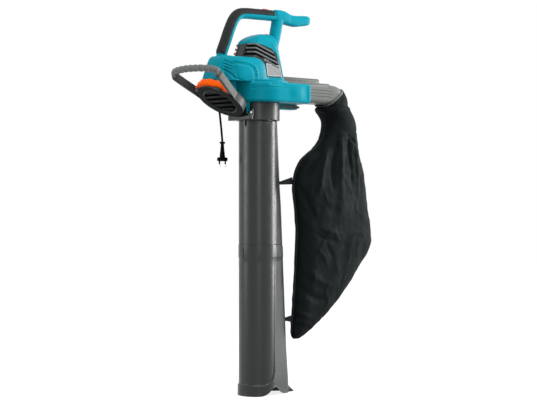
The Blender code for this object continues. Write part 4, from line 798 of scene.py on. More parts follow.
def shoulder_solid():
    """The rounded shoulder that the tower stands on."""
    middle, reach, half = -0.072, 0.099, 0.0655
    rings = []
    for share, narrow in smooth_path(((0.0, 1.0), (0.60, 0.985), (0.88, 0.92), (1.0, 0.74)), 6):
        z = SEAM - 0.004 + (SHOULDER_TOP_Z - SEAM + 0.004) * share
        rings.append([(middle + x, y, z) for x, y in oval(reach * narrow, half * narrow, 2.7, 96)])
    return rings_mesh(rings)


def hub_line(along):
    """A place on the neck's face towards the hub, in the plane of symmetry."""
    back = HUB_DEPTH + GAP * 2
    return (HUB_X - math.sin(HUB_LEAN) * along + math.cos(HUB_LEAN) * back,
            HUB_Z + math.cos(HUB_LEAN) * along + math.sin(HUB_LEAN) * back)


def handle_path(steps=8):
    """The middle line of the main handle, from its front foot up and back to the column."""
    points = [(-0.152, 0.040), (-0.1470, 0.0835), (-0.131, 0.124), (-0.1135, 0.166), (-0.0975, 0.196),
              (-0.078, 0.2135), (-0.050, 0.2185), (-0.010, 0.2195), (0.040, 0.2205), (0.075, 0.2205)]
    return smooth_path([(x, 0.0, FAN_DEPTH + rise) for x, rise in points], steps)


def loop_section(skin, count=64):
    """The handle's section, let in by the grip's skin on its outer side."""
    points = []
    for i in range(count):
        turn = 2.0 * math.pi * (i + 0.5) / count - math.pi
        inset = skin if abs(turn) < GRIP_HALF_ANGLE else 0.0
        c, s = math.cos(turn), math.sin(turn)
        points.append(((HANDLE_DEPTH / 2 - inset) * math.copysign(abs(c) ** 0.8, c),
                       (HANDLE_WIDTH / 2 - inset) * math.copysign(abs(s) ** 0.8, s)))
    return points


def scroll_plan(inset):
    """The fan housing's plan: a spiral round the fan that runs out into the straight outlet."""
    start_r, end_r, width = 0.097, 0.106, 0.092
    high = -end_r + width - inset
    start = math.asin(high / (start_r - inset))
    points = []
    for i in range(121):
        share = i / 120
        radius = start_r + (end_r - start_r) * share - inset
        points.append(polar(radius, start + (1.5 * math.pi - start) * share))
    points += [(SCROLL_END * k / 12, -end_r + inset) for k in range(1, 13)]
    return points + [(SCROLL_END, high)]


def scroll_solid():
    """The fan housing with rounded lower and upper rims."""
    levels = ((0.0, 0.0045), (0.0012, 0.0018), (0.0045, 0.0), (FAN_DEPTH - 0.0060, 0.0),
              (FAN_DEPTH - 0.0022, 0.0016), (FAN_DEPTH + 0.0004, 0.0060))
    return rings_mesh([[(x, y, z) for x, y in scroll_plan(inset)] for z, inset in levels])


def duct_flange():
    """Proud rounded collar at the end of the scroll's outlet."""
    half_y, half_z = 0.0460, 0.0305
    levels = ((0.1100, -0.004), (0.1150, 0.0002), (0.1190, 0.0013), (SCROLL_END, 0.0013), (0.1277, 0.0006),
              (0.1283, -0.0006))
    return rings_mesh([[(x, ELBOW_Y + b, FAN_DEPTH / 2 + a)
                        for a, b in oval(half_z + proud, half_y + proud, 7.0, 80)] for x, proud in levels])


def vent_outline(inset):
    """The dark cover's edge on the tower's flank, from the side."""
    front = -0.116
    lip = SHOULDER_TOP_Z + GAP
    foot = SHOULDER_TOP_Z - 0.058
    return [(front, CAP_SEAM_Z - inset), (-0.046, CAP_SEAM_Z - inset), (-0.020, CAP_SEAM_Z - 0.004 - inset),
            (0.014, CAP_SEAM_Z - 0.013 - inset), (0.032 - inset, CAP_SEAM_Z - 0.026),
            (0.044 - inset, CAP_SEAM_Z - 0.050), (0.055 - inset, foot + 0.025),
            (0.059 - inset, foot + inset), (-0.013 + inset, foot + inset),
            (-0.016 + inset, foot + 0.019), (-0.023 + inset, foot + 0.038),
            (-0.032 + inset, foot + 0.0485 + inset), (-0.047, foot + 0.0555 + inset), (-0.060, lip + inset),
            (front, lip + inset)]


def hook_lugs():
    """The two lugs under the housing that carry the hook pins."""
    lugs = []
    for side in (-1.0, 1.0):
        outline = [(HOOK_X - 0.006, 0.004), (HOOK_X - 0.006, HOOK_Z), (HOOK_X - 0.003, HOOK_Z - 0.006),
                   (HOOK_X + 0.003, HOOK_Z - 0.006), (HOOK_X + 0.006, HOOK_Z), (HOOK_X + 0.009, 0.004)]
        lugs.append(upright_plate(rounded(outline, 0.003), side * (HOOK_Y - 0.013), side * (HOOK_Y - 0.0075), 0.0006))
    return lugs


def make_latch_guides(paints):
    """Grey side guides of the latch, in the windows of its tray."""
    start = COLLAR_R + 0.0136
    outline = [(start, -0.0112), (0.1440, -0.0112), (0.1474, -0.0082), (0.1474, -0.0014), (start, -0.0014)]
    guides = [upright_plate(rounded(outline, 0.0016, 4), near, near + 0.0030, 0.0004) for near in (-0.0187, 0.0157)]
    piece("latch_guides", joined(guides), paints["grey"], sharp=40.0)


# The column behind the motor, and the head's sections: x, rise above the grip, half depth, half width
COLUMN = ((0.052, 0, 0.150), (0.060, 0, 0.185), (0.0690, 0, 0.217), (0.0765, 0, 0.250), (0.0830, 0, 0.284))
HEAD_SECTIONS = (
    (0.066, 0.0015, 0.0195, 0.0165), (0.078, 0.0005, 0.0215, 0.0172), (0.096, 0.0, 0.0215, 0.0172),
    (0.112, -0.0025, 0.0205, 0.0165), (0.128, -0.0065, 0.0185, 0.0150), (0.150, -0.0085, 0.0180, 0.0150),
    (0.175, -0.0060, 0.0172, 0.0152), (0.197, -0.0035, 0.0160, 0.0150), (0.208, -0.0030, 0.0135, 0.0125),
    (0.213, -0.0025, 0.0075, 0.0070),
)


def housing_forms():
    """The closed forms that melt into the housing."""
    neck = [hub_line(0.076), (-0.1745, 0.127), (-0.1630, 0.1400), (-0.062, 0.1380), (-0.062, 0.100),
            (-0.112, SEAM + 0.010), hub_line(-0.0325)]
    head = [[(x, b, GRIP_Z + rise + a) for a, b in oval(deep, wide, 2.8, 48)]
            for x, rise, deep, wide in smooth_path(HEAD_SECTIONS, 5)]
    return [
        tower_solid(0.0, SEAM - 0.006), shoulder_solid(),
        upright_plate(rounded(neck, 0.012), -0.035, 0.035, 0.0065),
        sweep(handle_path(), lambda share: loop_section(GRIP_SKIN), (0, -1, 0)),
        sweep(smooth_path(COLUMN, 6), lambda share: oval(0.0165, 0.0170, 3.0, 48), (0, 1, 0)),
        rings_mesh(head),
        revolve([(0.0, 0.055), (0.0945, 0.055), (0.0945, 0.0665), (0.0930, 0.0681), (0.0, 0.0681)]),
        scroll_solid(), duct_flange(), box((COLLAR_R + 0.006, -0.019, -0.0152), (0.148, 0.019, 0.004)),
    ] + hook_lugs()


def housing_cuts():
    """The vent cover's seat, fan room, inlet, passage, switch and dial pockets, latch tray and pin bores."""
    return [
        side_prism(vent_outline(0.0), -0.09, 0.09),
        rod(0.0920, 0.0030, 0.0646), rod(0.0560, -0.02, 0.02),
        box((0.050, -0.1030, 0.0033), (0.20, -0.0173, 0.0567)),
        box((SWITCH_X - 0.016, -SWITCH_HALF, GRIP_Z + 0.004), (SWITCH_X + 0.016, SWITCH_HALF, GRIP_Z + 0.05)),
        box((0.0206, -0.0044, 0.1951), (0.0484, 0.0044, 0.2229)),
        box((COLLAR_R, -0.0152, -0.0129), (0.158, 0.0152, -GAP)),
        cross_rod(0.0038, 0.1, 24, HOOK_X, HOOK_Z),
        box((COLLAR_R + 0.013, -0.040, -0.0116), (0.1600, -0.010, -0.0010)),
        box((COLLAR_R + 0.013, 0.010, -0.0116), (0.1600, 0.040, -0.0010)),
    ]


def make_housing(paints):
    """Both housing halves and the fan housing as one smooth moulding with crisp openings."""
    shell = shaped(joined(housing_forms()), housing_cuts(), voxel=HOUSING_VOXEL, smooth=HOUSING_SMOOTHING)
    emboss_shoulder(shell)
    teal = piece("teal_shell", shell, paints["teal"], sharp=38.0)
    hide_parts("housing_left", "housing_right", "fan_housing")


# Moulded lines of the housing as places in the picture: points, width in pixels, height
MOULDED_LINES = (
    (((233.0, 60.3), (242.5, 61.4), (250.6, 63.2), (255.0, 66.4), (257.2, 71.3), (258.0, 80.0)), 0.75, 0.0017),
    (((234.5, 63.0), (242.0, 64.0), (249.0, 65.6), (252.6, 68.2), (254.4, 72.0), (255.0, 79.0)), 0.75, -0.0012),
    (((224.4, 60.6), (233.0, 64.0)), 0.55, -0.0018),
    (((223.4, 63.4), (232.4, 66.8)), 0.55, -0.0018),
    (((222.6, 66.2), (231.6, 69.6)), 0.55, -0.0018),
    (((221.0, 68.2), (225.3, 70.6), (230.4, 73.6), (234.6, 77.8), (242.5, 80.2)), 0.85, -0.0026),
    (((236.0, 68.5), (236.8, 74.0), (239.0, 78.5)), 0.80, -0.0014),
    (((271.6, 83.2), (284.2, 83.6)), 1.25, -0.0036),
    (((256.3, 36.8), (266.6, 39.8), (271.8, 43.2), (274.6, 48.1)), 0.60, 0.0010),
    (((252.0, 88.0), (262.0, 87.0), (287.0, 87.6)), 0.70, -0.0008),
)


def from_stretch(px, py, a, b, size):
    """How far a place lies from a straight stretch of a given length."""
    share = clamp(((px - a[0]) * (b[0] - a[0]) + (py - a[1]) * (b[1] - a[1])) / size ** 2)
    return math.hypot(px - a[0] - share * (b[0] - a[0]), py - a[1] - share * (b[1] - a[1]))


def emboss_shoulder(shell):
    """Moulded steps, slots and lines on both flanks, and the swollen flank of the outlet."""
    shell.normal_update()
    toward = Vector((-VIEW_SIN, -VIEW_COS, 0.0))
    routes = [([(a, b, math.dist(a, b)) for a, b in zip(points, points[1:])], width, height)
              for points, width, height in MOULDED_LINES]
    moves = []
    for vert in shell.verts:
        x, y, z = vert.co
        if z < -0.002 or abs(y) < 0.010:
            continue
        across = abs(vert.normal.y)
        normal = Vector((vert.normal.x, -across if vert.normal.y * y > 0 else across, 0.0))
        facing = clamp(normal.dot(toward) * 3.0 - 0.6)
        shift = 0.0
        if facing > 0.0 and (y < 0 or z > 0.066):
            px, py = picture_of(x, -abs(y), z)
            for stretches, width, height in routes:
                away = min(from_stretch(px, py, a, b, size) for a, b, size in stretches)
                if away < 3.0 * width:
                    shift += height * math.exp(-(away / width) ** 2) * facing
        if y < -0.09 and 0.004 < z < 0.058:
            shift += OUTLET_SWELL * math.sin(math.pi * (z - 0.002) / 0.058) * between(x, 0.035, 0.112, 0.035)
        if shift:
            moves.append((vert, vert.normal * shift))
    for vert, move in moves:
        vert.co += move


def vent_slot(side, index):
    """A slot that runs level round the nose and slants down along one flank."""
    top = CAP_SEAM_Z - 0.0060 - index * VENT_PITCH
    end = 0.024 + index * VENT_STEP
    drop = (end - VENT_KNEE) * VENT_SLOPE
    height = 0.0064
    outline = [(-0.132, top), (-0.132, top - height), (VENT_KNEE, top - height), (end, top - height - drop),
               (end + height * 0.5, top - height * 0.35 - drop), (end, top - drop), (VENT_KNEE, top)]
    near, far = side * 0.0215, side * 0.09
    return side_prism(outline, min(near, far), max(near, far))


def vent_bar(side, index):
    """A rounded bar beside a slot, along the tower's nose and flank."""
    z = CAP_SEAM_Z - 0.0026 - index * VENT_PITCH
    route = []
    for x in np.linspace(-0.070, 0.021 + index * VENT_STEP, 30):
        height = z - max(0.0, x - VENT_KNEE) * VENT_SLOPE
        front, _, half = tower_size(height)
        width = half * 0.55 + half * 0.45 * clamp((x - front) / (half * 0.36))
        route.append((max(x, front), side * (width - 0.0004), height))
    route = [route[0]] + [p for a, p in zip(route, route[1:]) if abs(p[0] - a[0]) > 1e-4]
    if index == VENT_SLOTS:
        route = [p for p in route if p[0] > -0.020]
    return bar_along(route, 0.0019, 0.0028)


def vent_ridge(side):
    """An upright ridge on the cover's nose."""
    rings = []
    for z in np.linspace(0.1395, CAP_SEAM_Z - 0.002, 12):
        front, _, half = tower_size(float(z))
        rings.append([(front + 0.0016 + a, side * half * 0.30 + b, float(z))
                      for a, b in oval(0.0028, 0.0036, 2.6, 20)])
    return rings_mesh(rings)


def make_vent_cover(paints):
    """Dark cover of the motor, with slots, bars and ridges; the bars are painted light grey as their painted
    highlight, and a black sheet behind the slots is painted shade inside the cover.
    """
    body = shaped(tower_solid(0.0008, 0.070), [side_prism(vent_outline(GAP), -0.08, 0.08)], operation="INTERSECT")
    sides = (-1.0, 1.0)
    tools = [tower_solid(0.0034, 0.066)] + [vent_slot(side, i) for side in sides for i in range(VENT_SLOTS)]
    cover = shaped(body, tools)
    bars = [vent_bar(side, i) for side in sides for i in range(VENT_SLOTS + 1)]
    # A black sheet inside the cover, behind the slots: painted shade where the inside of the cover is
    shade_sheet = shaped(tower_solid(0.0100, 0.1385, 0.010), [tower_solid(0.0114, 0.130, 0.012)])
    motor_cover = piece("vent_cover_moulding", joined([cover] + [vent_ridge(side) for side in sides]),
                        paints["cover"], sharp=30.0)
    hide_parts("vent_cover")
    # Painted highlight: the bars are painted light grey though they are the cover's black plastic
    piece("vent_bars", joined(bars), paints["bar"], sharp=40.0)
    piece("vent_shade_sheet", shade_sheet, paints["black"], sharp=40.0)
    make_plate(paints)


def bar_along(route, wide, high):
    """A rounded bar that follows a route in space."""
    rings = []
    points = [Vector(p) for p in route]
    for i, here in enumerate(points):
        ahead = way_at(points, i)
        out = ahead.cross(Vector((0, 0, 1))).normalized()
        up = out.cross(ahead)
        rings.append([here + out * a + up * b for a, b in oval(wide, high, 2.4, 16)])
    return rings_mesh(rings)


def flank_point(x, z, proud):
    """A point on the tower's near flank, a little proud of it."""
    half = tower_size(z)[2]
    return (x, -(half - 0.0008 + proud), z)


def make_plate(paints):
    """The bare silver plate on the near flank of the motor cover, with a raised rim."""
    corners = [(-0.0105, 0.1215), (-0.0060, 0.0815), (0.0530, 0.0830), (0.0465, 0.1090), (0.0420, 0.1170)]
    shape = rounded(corners, 0.003, 6)
    levels = ((-0.0008, 0.0), (0.0004, 0.0), (0.0007, 0.0004), (0.0007, 0.0020), (0.0004, 0.0024))
    face = rings_mesh([[flank_point(a, b, 0.0002 + h) for a, b in shrunk(shape, inset)] for h, inset in levels])
    piece("rating_plate_bare", face, paints["plate"], sharp=25.0)
    border = [flank_point(a, b, 0.0008) for a, b in shrunk(shape, 0.0012)]
    rim = sweep(border, lambda share: oval(0.0010, 0.0006, 2.0, 10), (0.0, -1.0, 0.0), looped=True)
    piece("rating_plate_rim", rim, paints["silver"], sharp=60.0)


# Main grip

def make_grip(paints):
    """Soft skin on the handle's outer side, with the switch's window."""
    path = [p for p in handle_path(10) if p[2] > FAN_DEPTH + 0.0835 - GAP and p[0] < 0.0600]
    count = 64
    full, core = loop_section(0.0, count), loop_section(GRIP_SKIN - GAP, count)
    used = [i for i in range(count) if abs(2.0 * math.pi * (i + 0.5) / count - math.pi) < GRIP_HALF_ANGLE - 0.02]

    def section(share):
        lip = 1.0 - 0.10 * (1.0 - between(share, -0.001, 1.001, 0.02))
        outer = [(full[i][0] * lip + 0.0001, full[i][1] * lip) for i in used]
        return outer + [core[i] for i in reversed(used)]

    mesh = sweep(path, section, (0, -1, 0))
    window = box((SWITCH_X - 0.013, -SWITCH_HALF, GRIP_Z), (SWITCH_X + 0.013, SWITCH_HALF, GRIP_Z + 0.05))
    grip = piece("soft_grip", shaped(mesh, [window]), paints["rubber"], sharp=40.0)
    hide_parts("main_grip")


# Front hub

HUB_FRAME = (TO_ROW @ Matrix.Translation((HUB_X, 0.0, HUB_Z))
             @ Matrix.Rotation(-math.pi / 2 - HUB_LEAN, 4, "Y"))
HANDLE_FRAME = HUB_FRAME @ Matrix.Rotation(-math.radians(3.0), 4, "Z")
GRIP_BAR_R = 0.0118
GRIP_FROM = 0.53
LOCK_WINDOW = 63.0
EAR_TURN = math.radians(36.0)
EAR_R = HUB_R - 0.003
LOUVRES = 5


def front_handle_path():
    """The D-shaped loop's middle line, in the hub's plane."""
    reach, half = 0.149, 0.104
    arm = [(0.012, HUB_R - 0.0065), (0.040, HUB_R + 0.0020), (reach * 0.50, half * 0.875),
           (reach * 0.705, half * 0.957), (reach * 0.83, half * 0.985), (reach * 0.915, half * 0.90),
           (reach * 0.965, half * 0.66), (reach * 0.992, half * 0.34)]
    return arm + [(reach, 0.0)] + [(a, -b) for a, b in reversed(arm)]


def handle_section(share):
    """The loop's bar: flat arms at its ends and a round ribbed grip in the middle."""
    near_end = 1.0 - abs(2.0 * share - 1.0)
    grip = eased(clamp((near_end - 0.48) / 0.10))
    deep = (HUB_DEPTH / 2 - 0.0015) * (1.0 - grip) + GRIP_BAR_R * 0.86 * grip
    thick = 0.0050 * (1.0 - grip) + GRIP_BAR_R * 0.90 * grip
    rib = 0.0011 * between(math.sin(share * 150.0), -0.25, 2.0, 0.4) * between(near_end, 0.60, 1.01, 0.05)
    power = 7.0 * (1.0 - grip) + 2.4 * grip
    centre = -HUB_DEPTH / 2 - 0.0005 * (1.0 - grip) - 0.006 * grip
    return [(a, b + centre) for a, b in oval(thick - rib, deep - rib, power, 40)]


def handle_loop():
    """The loop, with a lighter paint of its own on the faces of its grip: painted light on the same plastic as the
    arms.
    """
    path = [(a, b, 0.0) for a, b in smooth_path(front_handle_path(), 14)]
    loop = sweep(path, handle_section, (0, 0, 1))
    gripped, others = [], []
    for i, place in enumerate(path):
        near_end = 1.0 - abs(2.0 * i / (len(path) - 1) - 1.0)
        (gripped if near_end > GRIP_FROM else others).append(Vector(place))
    for face in loop.faces:
        middle = face.calc_center_median()
        flat = Vector((middle.x, middle.y, 0.0))
        if min((flat - p).length for p in gripped) < min((flat - p).length for p in others):
            face.material_index = 2
    return loop


def handle_drum():
    """The drum's wall, open at the lock ring's window, its front lip and the bead at its back."""
    drum_r = HUB_R - 0.0012
    plan = (arc((0, 0), drum_r, LOCK_WINDOW, 360.0 - LOCK_WINDOW, 90)
            + arc((0, 0), drum_r - 0.0045, 360.0 - LOCK_WINDOW, LOCK_WINDOW, 90))
    wall = rings_mesh([[(x, y, z) for x, y in plan] for z in (-HUB_DEPTH, -0.0005)])
    lip = revolve([(LOUVRE_R + 0.0006, -0.0060), (HUB_R - 0.0008, -0.0060), (HUB_R, -0.0052), (HUB_R, -0.0012),
                   (HUB_R - 0.0012, 0.0), (LOUVRE_R + 0.0016, 0.0), (LOUVRE_R + 0.0006, -0.0010)])
    bead = revolve([(HUB_R - 0.0035, -HUB_DEPTH), (HUB_R - 0.0004, -HUB_DEPTH),
                    (HUB_R + 0.0002, -HUB_DEPTH + 0.001), (HUB_R - 0.0004, -HUB_DEPTH + 0.002),
                    (HUB_R - 0.0035, -HUB_DEPTH + 0.002)])
    window = [(0, 0)] + [polar(0.12, math.radians(turn)) for turn in range(-62, 63, 4)]
    sector = rings_mesh([[(x, y, z) for x, y in window] for z in (-0.1, -0.0065)])
    return [wall, lip, shaped(bead, [sector])]


def make_ears(paints):
    """The two screwed ears on the drum's lip."""
    screw = ((0.0, -0.0042), (0.0024, -0.0042), (0.0024, -0.0030), (0.0020, -0.0026), (0.0008, -0.0025),
             (0.0008, -0.0034), (0.0, -0.0034))
    outline = rounded([(HUB_R - 0.010, -0.013), (HUB_R + 0.006, -0.011), (HUB_R + 0.006, 0.011),
                       (HUB_R - 0.010, 0.013)], 0.005)
    hole_place = Matrix.Translation((EAR_R, 0, 0))
    ears = []
    for side in (-1.0, 1.0):
        ear = shaped(plate(outline, -0.0057, -0.0002, 0.0008), [moved(rod(0.0028, -0.02, 0.02, 32), hole_place)])
        ears.append(moved(ear, Matrix.Rotation(side * EAR_TURN, 4, "Z")))
    # The ears take the arms' darker copy of the handle plastic: painted shade
    piece("handle_ears", joined(ears), paints["handle"], "front_handle", 35.0, HANDLE_FRAME)
    for side, name in ((-1.0, "left"), (1.0, "right")):
        centre = Matrix.Rotation(side * EAR_TURN, 4, "Z") @ Vector((EAR_R, 0.0, 0.0))
        piece("ear_screw_" + name, moved(revolve(screw, 24), Matrix.Translation(centre)), paints["black"],
              "front_handle", 30.0, HANDLE_FRAME)


def make_front_handle(paints):
    """The turning handle in one piece, painted by zone: arms, lip, grip and drum, as lit and shaded copies of one
    grey plastic: painted shade on the arms, lighter painted shade on the drum, painted light on the grip, and the lip
    black, partly its own dark colour and partly painted shade.
    """
    mesh = joined([handle_loop()] + handle_drum())
    mesh.faces.ensure_lookup_table()
    mesh.normal_update()
    for face in mesh.faces:
        middle = face.calc_center_median()
        away = math.hypot(middle.x, middle.y)
        # The lip's front faces turn black, partly its dark plastic and partly painted shade; the drum's wall takes
        # its painted half shade
        if away < HUB_R + 0.008 and middle.z > -0.0066 and (face.normal.z > 0.25 or away < HUB_R - 0.002):
            face.material_index = 1
        elif away < HUB_R + 0.0009:
            face.material_index = 3
    lit_and_shaded_zones = [paints[key] for key in ("handle", "black", "painted_light_grip", "drum")]
    handle = piece("turning_handle", mesh, lit_and_shaded_zones, "front_handle", 35.0, HANDLE_FRAME)
    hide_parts("front_handle")
    make_ears(paints)


def make_louvres(paints):
    """Round cover of the hub, a beaded rim round slanted louvres, and the fixed core behind it."""
    rim = revolve([(LOUVRE_R - 0.0055, -0.0042), (LOUVRE_R, -0.0042), (LOUVRE_R, -0.0010), (LOUVRE_R - 0.0010, 0.0),
                   (LOUVRE_R - 0.0025, 0.0006), (LOUVRE_R - 0.0042, 0.0), (LOUVRE_R - 0.0055, -0.0014)])
    bars = []
    pitch = 2.0 * (LOUVRE_R - 0.006) / LOUVRES
    for i in range(LOUVRES):
        x = -LOUVRE_R + 0.006 + pitch * (i + 0.5)
        half = math.sqrt(max((LOUVRE_R - 0.004) ** 2 - (abs(x) + pitch * 0.30) ** 2, 1e-6))
        outline = [(x - pitch * 0.52, -0.0056), (x - pitch * 0.40, -0.0062), (x + pitch * 0.50, -0.0020),
                   (x + pitch * 0.50, -0.0004), (x + pitch * 0.36, -0.0002)]
        bars.append(upright_plate(rounded(outline, 0.0012, 5), -half, half, 0.0008))
    cover = piece("louvre_cover", joined(bars), paints["black"], sharp=30.0, frame_of=HUB_FRAME)
    # The rim is dark grey, lighter than the black louvres: a painted highlight on the rim
    piece("louvre_rim", rim, paints["dark"], sharp=30.0, frame_of=HUB_FRAME)
    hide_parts("hub_cover")
    core = revolve([(0.0, -HUB_DEPTH - GAP), (CORE_R, -HUB_DEPTH - GAP), (CORE_R, -0.0045),
                    (CORE_R - 0.005, -0.0045), (CORE_R - 0.005, -HUB_DEPTH + 0.003), (0.0, -HUB_DEPTH + 0.003)])
    drum = piece("hub_drum", core, paints["black"], frame_of=HUB_FRAME)
    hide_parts("hub_core")


def make_lock_ring(paints):
    """The ring round the core and its thumb sector, scalloped into four lobes."""
    low, high = -HUB_DEPTH + 0.0010, -0.0075
    band = revolve([(CORE_R + 0.0006, low), (CORE_R + 0.009, low), (CORE_R + 0.009, high), (CORE_R + 0.0006, high)])
    span = math.radians(98.0)
    outline = []
    for i in range(121):
        share = i / 120
        radius = HUB_R + 0.0098 - 0.0042 * (1.0 - abs(math.sin(math.pi * 4 * share)) ** 0.8)
        outline.append(polar(radius, -span / 2 + span * share))
    outline += [polar(CORE_R + 0.004, span / 2 - span * i / 40) for i in range(41)]
    sector = plate(outline, low, high, 0.0016)
    ring = piece("lock_ring_moulding", joined([band, sector]), paints["orange"], "lock_ring", 32.0, HANDLE_FRAME)
    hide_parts("handle_lock_ring")


# Suction tube

# The proud front panel: where its side steps lie on the flats, its lower rim and their joining curve
STEP_AT = 0.10
RIM_Z = -0.882
RIM_ROUND = 0.045
PROUD = 0.0016
EYELETS = {"upper": -0.246, "lower": -0.684}
EYELET_OUT = 0.0038


def teardrop(front_r, keel_r, keel_x, z, inset=0.0, stand=None):
    """Round front and narrow keel joined by flats; stand gives the proud height by place."""
    change = math.acos(min((front_r - keel_r) / max(keel_x, 1e-6), 1.0))
    flat = math.sqrt(max(keel_x ** 2 - (front_r - keel_r) ** 2, 0.0))
    half = [(change + (math.pi - change) * (1.0 - i / 36), 0.0) for i in range(36)]
    half += [(change + 0.02 * (0.5 - i / 11), i / 11) for i in range(12)]
    half += [(change * (1.0 - i / 12) - 0.011 * (1.0 - i / 12), 1.0) for i in range(1, 12)]
    ring = []
    for side in (1.0, -1.0):
        row = []
        for turn, share in half:
            radius = front_r + (keel_r - front_r) * share - inset
            if stand is not None:
                radius += stand(front_r * max(turn - change, 0.0) - (share - STEP_AT) * flat - keel_x * 0.17)
            row.append((keel_x * share + radius * math.cos(turn), side * radius * math.sin(turn), z))
        ring += row if side > 0 else row[::-1][:-1]
    return ring


def tube_ring(z, inset, spread=0.0, proud=0.0):
    """A level of the tube: round under the collar, and more and more keeled towards the mouth."""
    share = clamp((-COLLAR_LENGTH - z) / (-COLLAR_LENGTH - MOUTH_Z))
    keel_r = 0.0545 + (0.0300 - 0.0545) * share ** 0.8
    keel_x = 0.0075 + (0.0830 - 0.0075) * share ** 0.9
    above = z - RIM_Z

    def stand(along):
        if along < RIM_ROUND and above < RIM_ROUND:
            away = RIM_ROUND - math.hypot(RIM_ROUND - along, RIM_ROUND - above)
        else:
            away = min(along, above)
        return proud * eased(clamp(0.5 - away / 0.0036))

    return teardrop(TUBE_R + spread, keel_r + spread, keel_x, z, inset, stand if proud else None)


def mouth_ring(inset, spread, lift=0.0):
    """The mouth's edge, which rises in its middle."""
    return [(x, y, MOUTH_Z + lift + 0.028 * math.exp(-((x - 0.022) / 0.030) ** 2))
            for x, y, _ in tube_ring(MOUTH_Z, inset, spread)]


def keel_back(z):
    """How far back the tube's keel reaches at a height."""
    return max(p[0] for p in tube_ring(z, 0.0))


def eyelet(z):
    """The lug on the tube's keel that takes a hook of the bag."""
    back = keel_back(z)
    outline = [(back - 0.003, z - 0.009), (back + 0.006, z - 0.007), (back + 0.008, z), (back + 0.006, z + 0.007),
               (back - 0.003, z + 0.009)]
    hole = cross_rod(WIRE_R + 0.0007, 0.02, 24, back + EYELET_OUT, z)
    return shaped(upright_plate(rounded(outline, 0.002), -0.0022, 0.0022, 0.0005), [hole])


def make_upper_tube(paints):
    """From the round top in the collar down to the spigot that plugs into the lower tube."""
    joint = UPPER_TUBE_END
    spigot = TUBE_WALL + 0.0006
    levels = (-0.014, -COLLAR_LENGTH)
    outer = [teardrop(TUBE_R, TUBE_R, 0.0, z) for z in levels]
    for k in range(29):
        z = -COLLAR_LENGTH - 0.004 - 0.3834 * k / 28
        outer.append(tube_ring(z, 0.0, 0.0, PROUD * clamp((-0.255 - z) / 0.07)))
    outer += [tube_ring(joint + 0.0006, 0.0, 0.0, PROUD), tube_ring(joint + 0.0005, spigot),
              tube_ring(joint - TUBE_SOCKET, spigot)]
    inner = [teardrop(TUBE_R, TUBE_R, 0.0, z, TUBE_WALL) for z in levels]
    inner += [tube_ring(z, TUBE_WALL) for z in (-0.06, -0.17, -0.30, joint + 0.012)]
    inner += [tube_ring(z, spigot + 0.002) for z in (joint, joint - TUBE_SOCKET)]
    notch = box((-TUBE_R - 0.010, -0.0155, -COLLAR_LENGTH - 0.018),
                (-TUBE_R + 0.0080, -0.0085, -COLLAR_LENGTH - 0.001))
    shell = shaped(rings_mesh(outer + inner[::-1], looped=True), [notch])
    upper = piece("upper_tube_moulding", joined([shell, eyelet(EYELETS["upper"])]), paints["tube"], sharp=32.0)
    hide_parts("upper_tube")


def make_lower_tube(paints):
    """From the beaded socket down to the slanted mouth with its skid foot."""
    joint = UPPER_TUBE_END
    levels = [(joint, 0.0004), (joint - 0.0008, 0.0012), (joint - 0.0100, 0.0012), (joint - 0.0392, 0.0012),
              (joint - 0.0410, 0.0009), (joint - 0.0440, 0.0)]
    levels += [(joint - 0.044 - (0.332 * k / 20), 0.0) for k in range(1, 21)]
    levels += [(-0.8235 - 0.0032 * k, 0.0) for k in range(22)]
    outer = []
    for z, spread in levels:
        proud = PROUD + 0.0020 * clamp((-0.78 - z) / 0.09) if z < joint - 0.005 else 0.0
        outer.append(tube_ring(z, 0.0, spread, proud))
    outer += [mouth_ring(0.0, 0.0036, 0.004), mouth_ring(0.0, 0.0040, 0.0006), mouth_ring(0.0, 0.0030, 0.0)]
    inner = [tube_ring(z, TUBE_WALL) for z in (joint, joint - 0.057, -0.503, -0.65, -0.80, -0.862)]
    inner += [tube_ring(-0.880, TUBE_WALL, 0.0020), mouth_ring(TUBE_WALL, 0.0040)]
    keel, tip = 0.1130, 0.137
    skid = [(keel - 0.004, MOUTH_Z + 0.030), (keel + 0.008, MOUTH_Z + 0.016), (tip, MOUTH_Z + 0.004),
            (tip, MOUTH_Z), (keel - 0.001, MOUTH_Z)]
    foot = upright_plate(rounded(skid, 0.0028), -0.014, 0.014, 0.0012)
    slot = box((-TUBE_R - 0.010, -0.0040, joint - 0.0430), (-TUBE_R + 0.0003, -0.0018, joint - 0.0060))
    shell = shaped(rings_mesh(outer + inner[::-1], looped=True), [slot])
    lower = piece("lower_tube_moulding", joined([shell, foot, eyelet(EYELETS["lower"])]), paints["tube"], sharp=32.0)
    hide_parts("lower_tube")


def collar_hook(side):
    """An open hook that hangs on a pin of the housing."""
    low = -COLLAR_LENGTH
    reach, inner_r = 0.0105, 0.0041
    hook = [(HOOK_X - reach * 0.62, low + 0.010), (HOOK_X - reach * 0.62, HOOK_Z + 0.004),
            (HOOK_X - inner_r, HOOK_Z + 0.006)]
    hook += [(HOOK_X + x, HOOK_Z + z) for x, z in arc((0.0, 0.0), inner_r, 180.0, 360.0, 21)]
    hook += [(HOOK_X + inner_r, HOOK_Z + 0.010), (HOOK_X + reach, HOOK_Z + 0.012), (HOOK_X + reach, low + 0.010)]
    return upright_plate(hook, side * (HOOK_Y - 0.004), side * (HOOK_Y + 0.004), 0.0006)


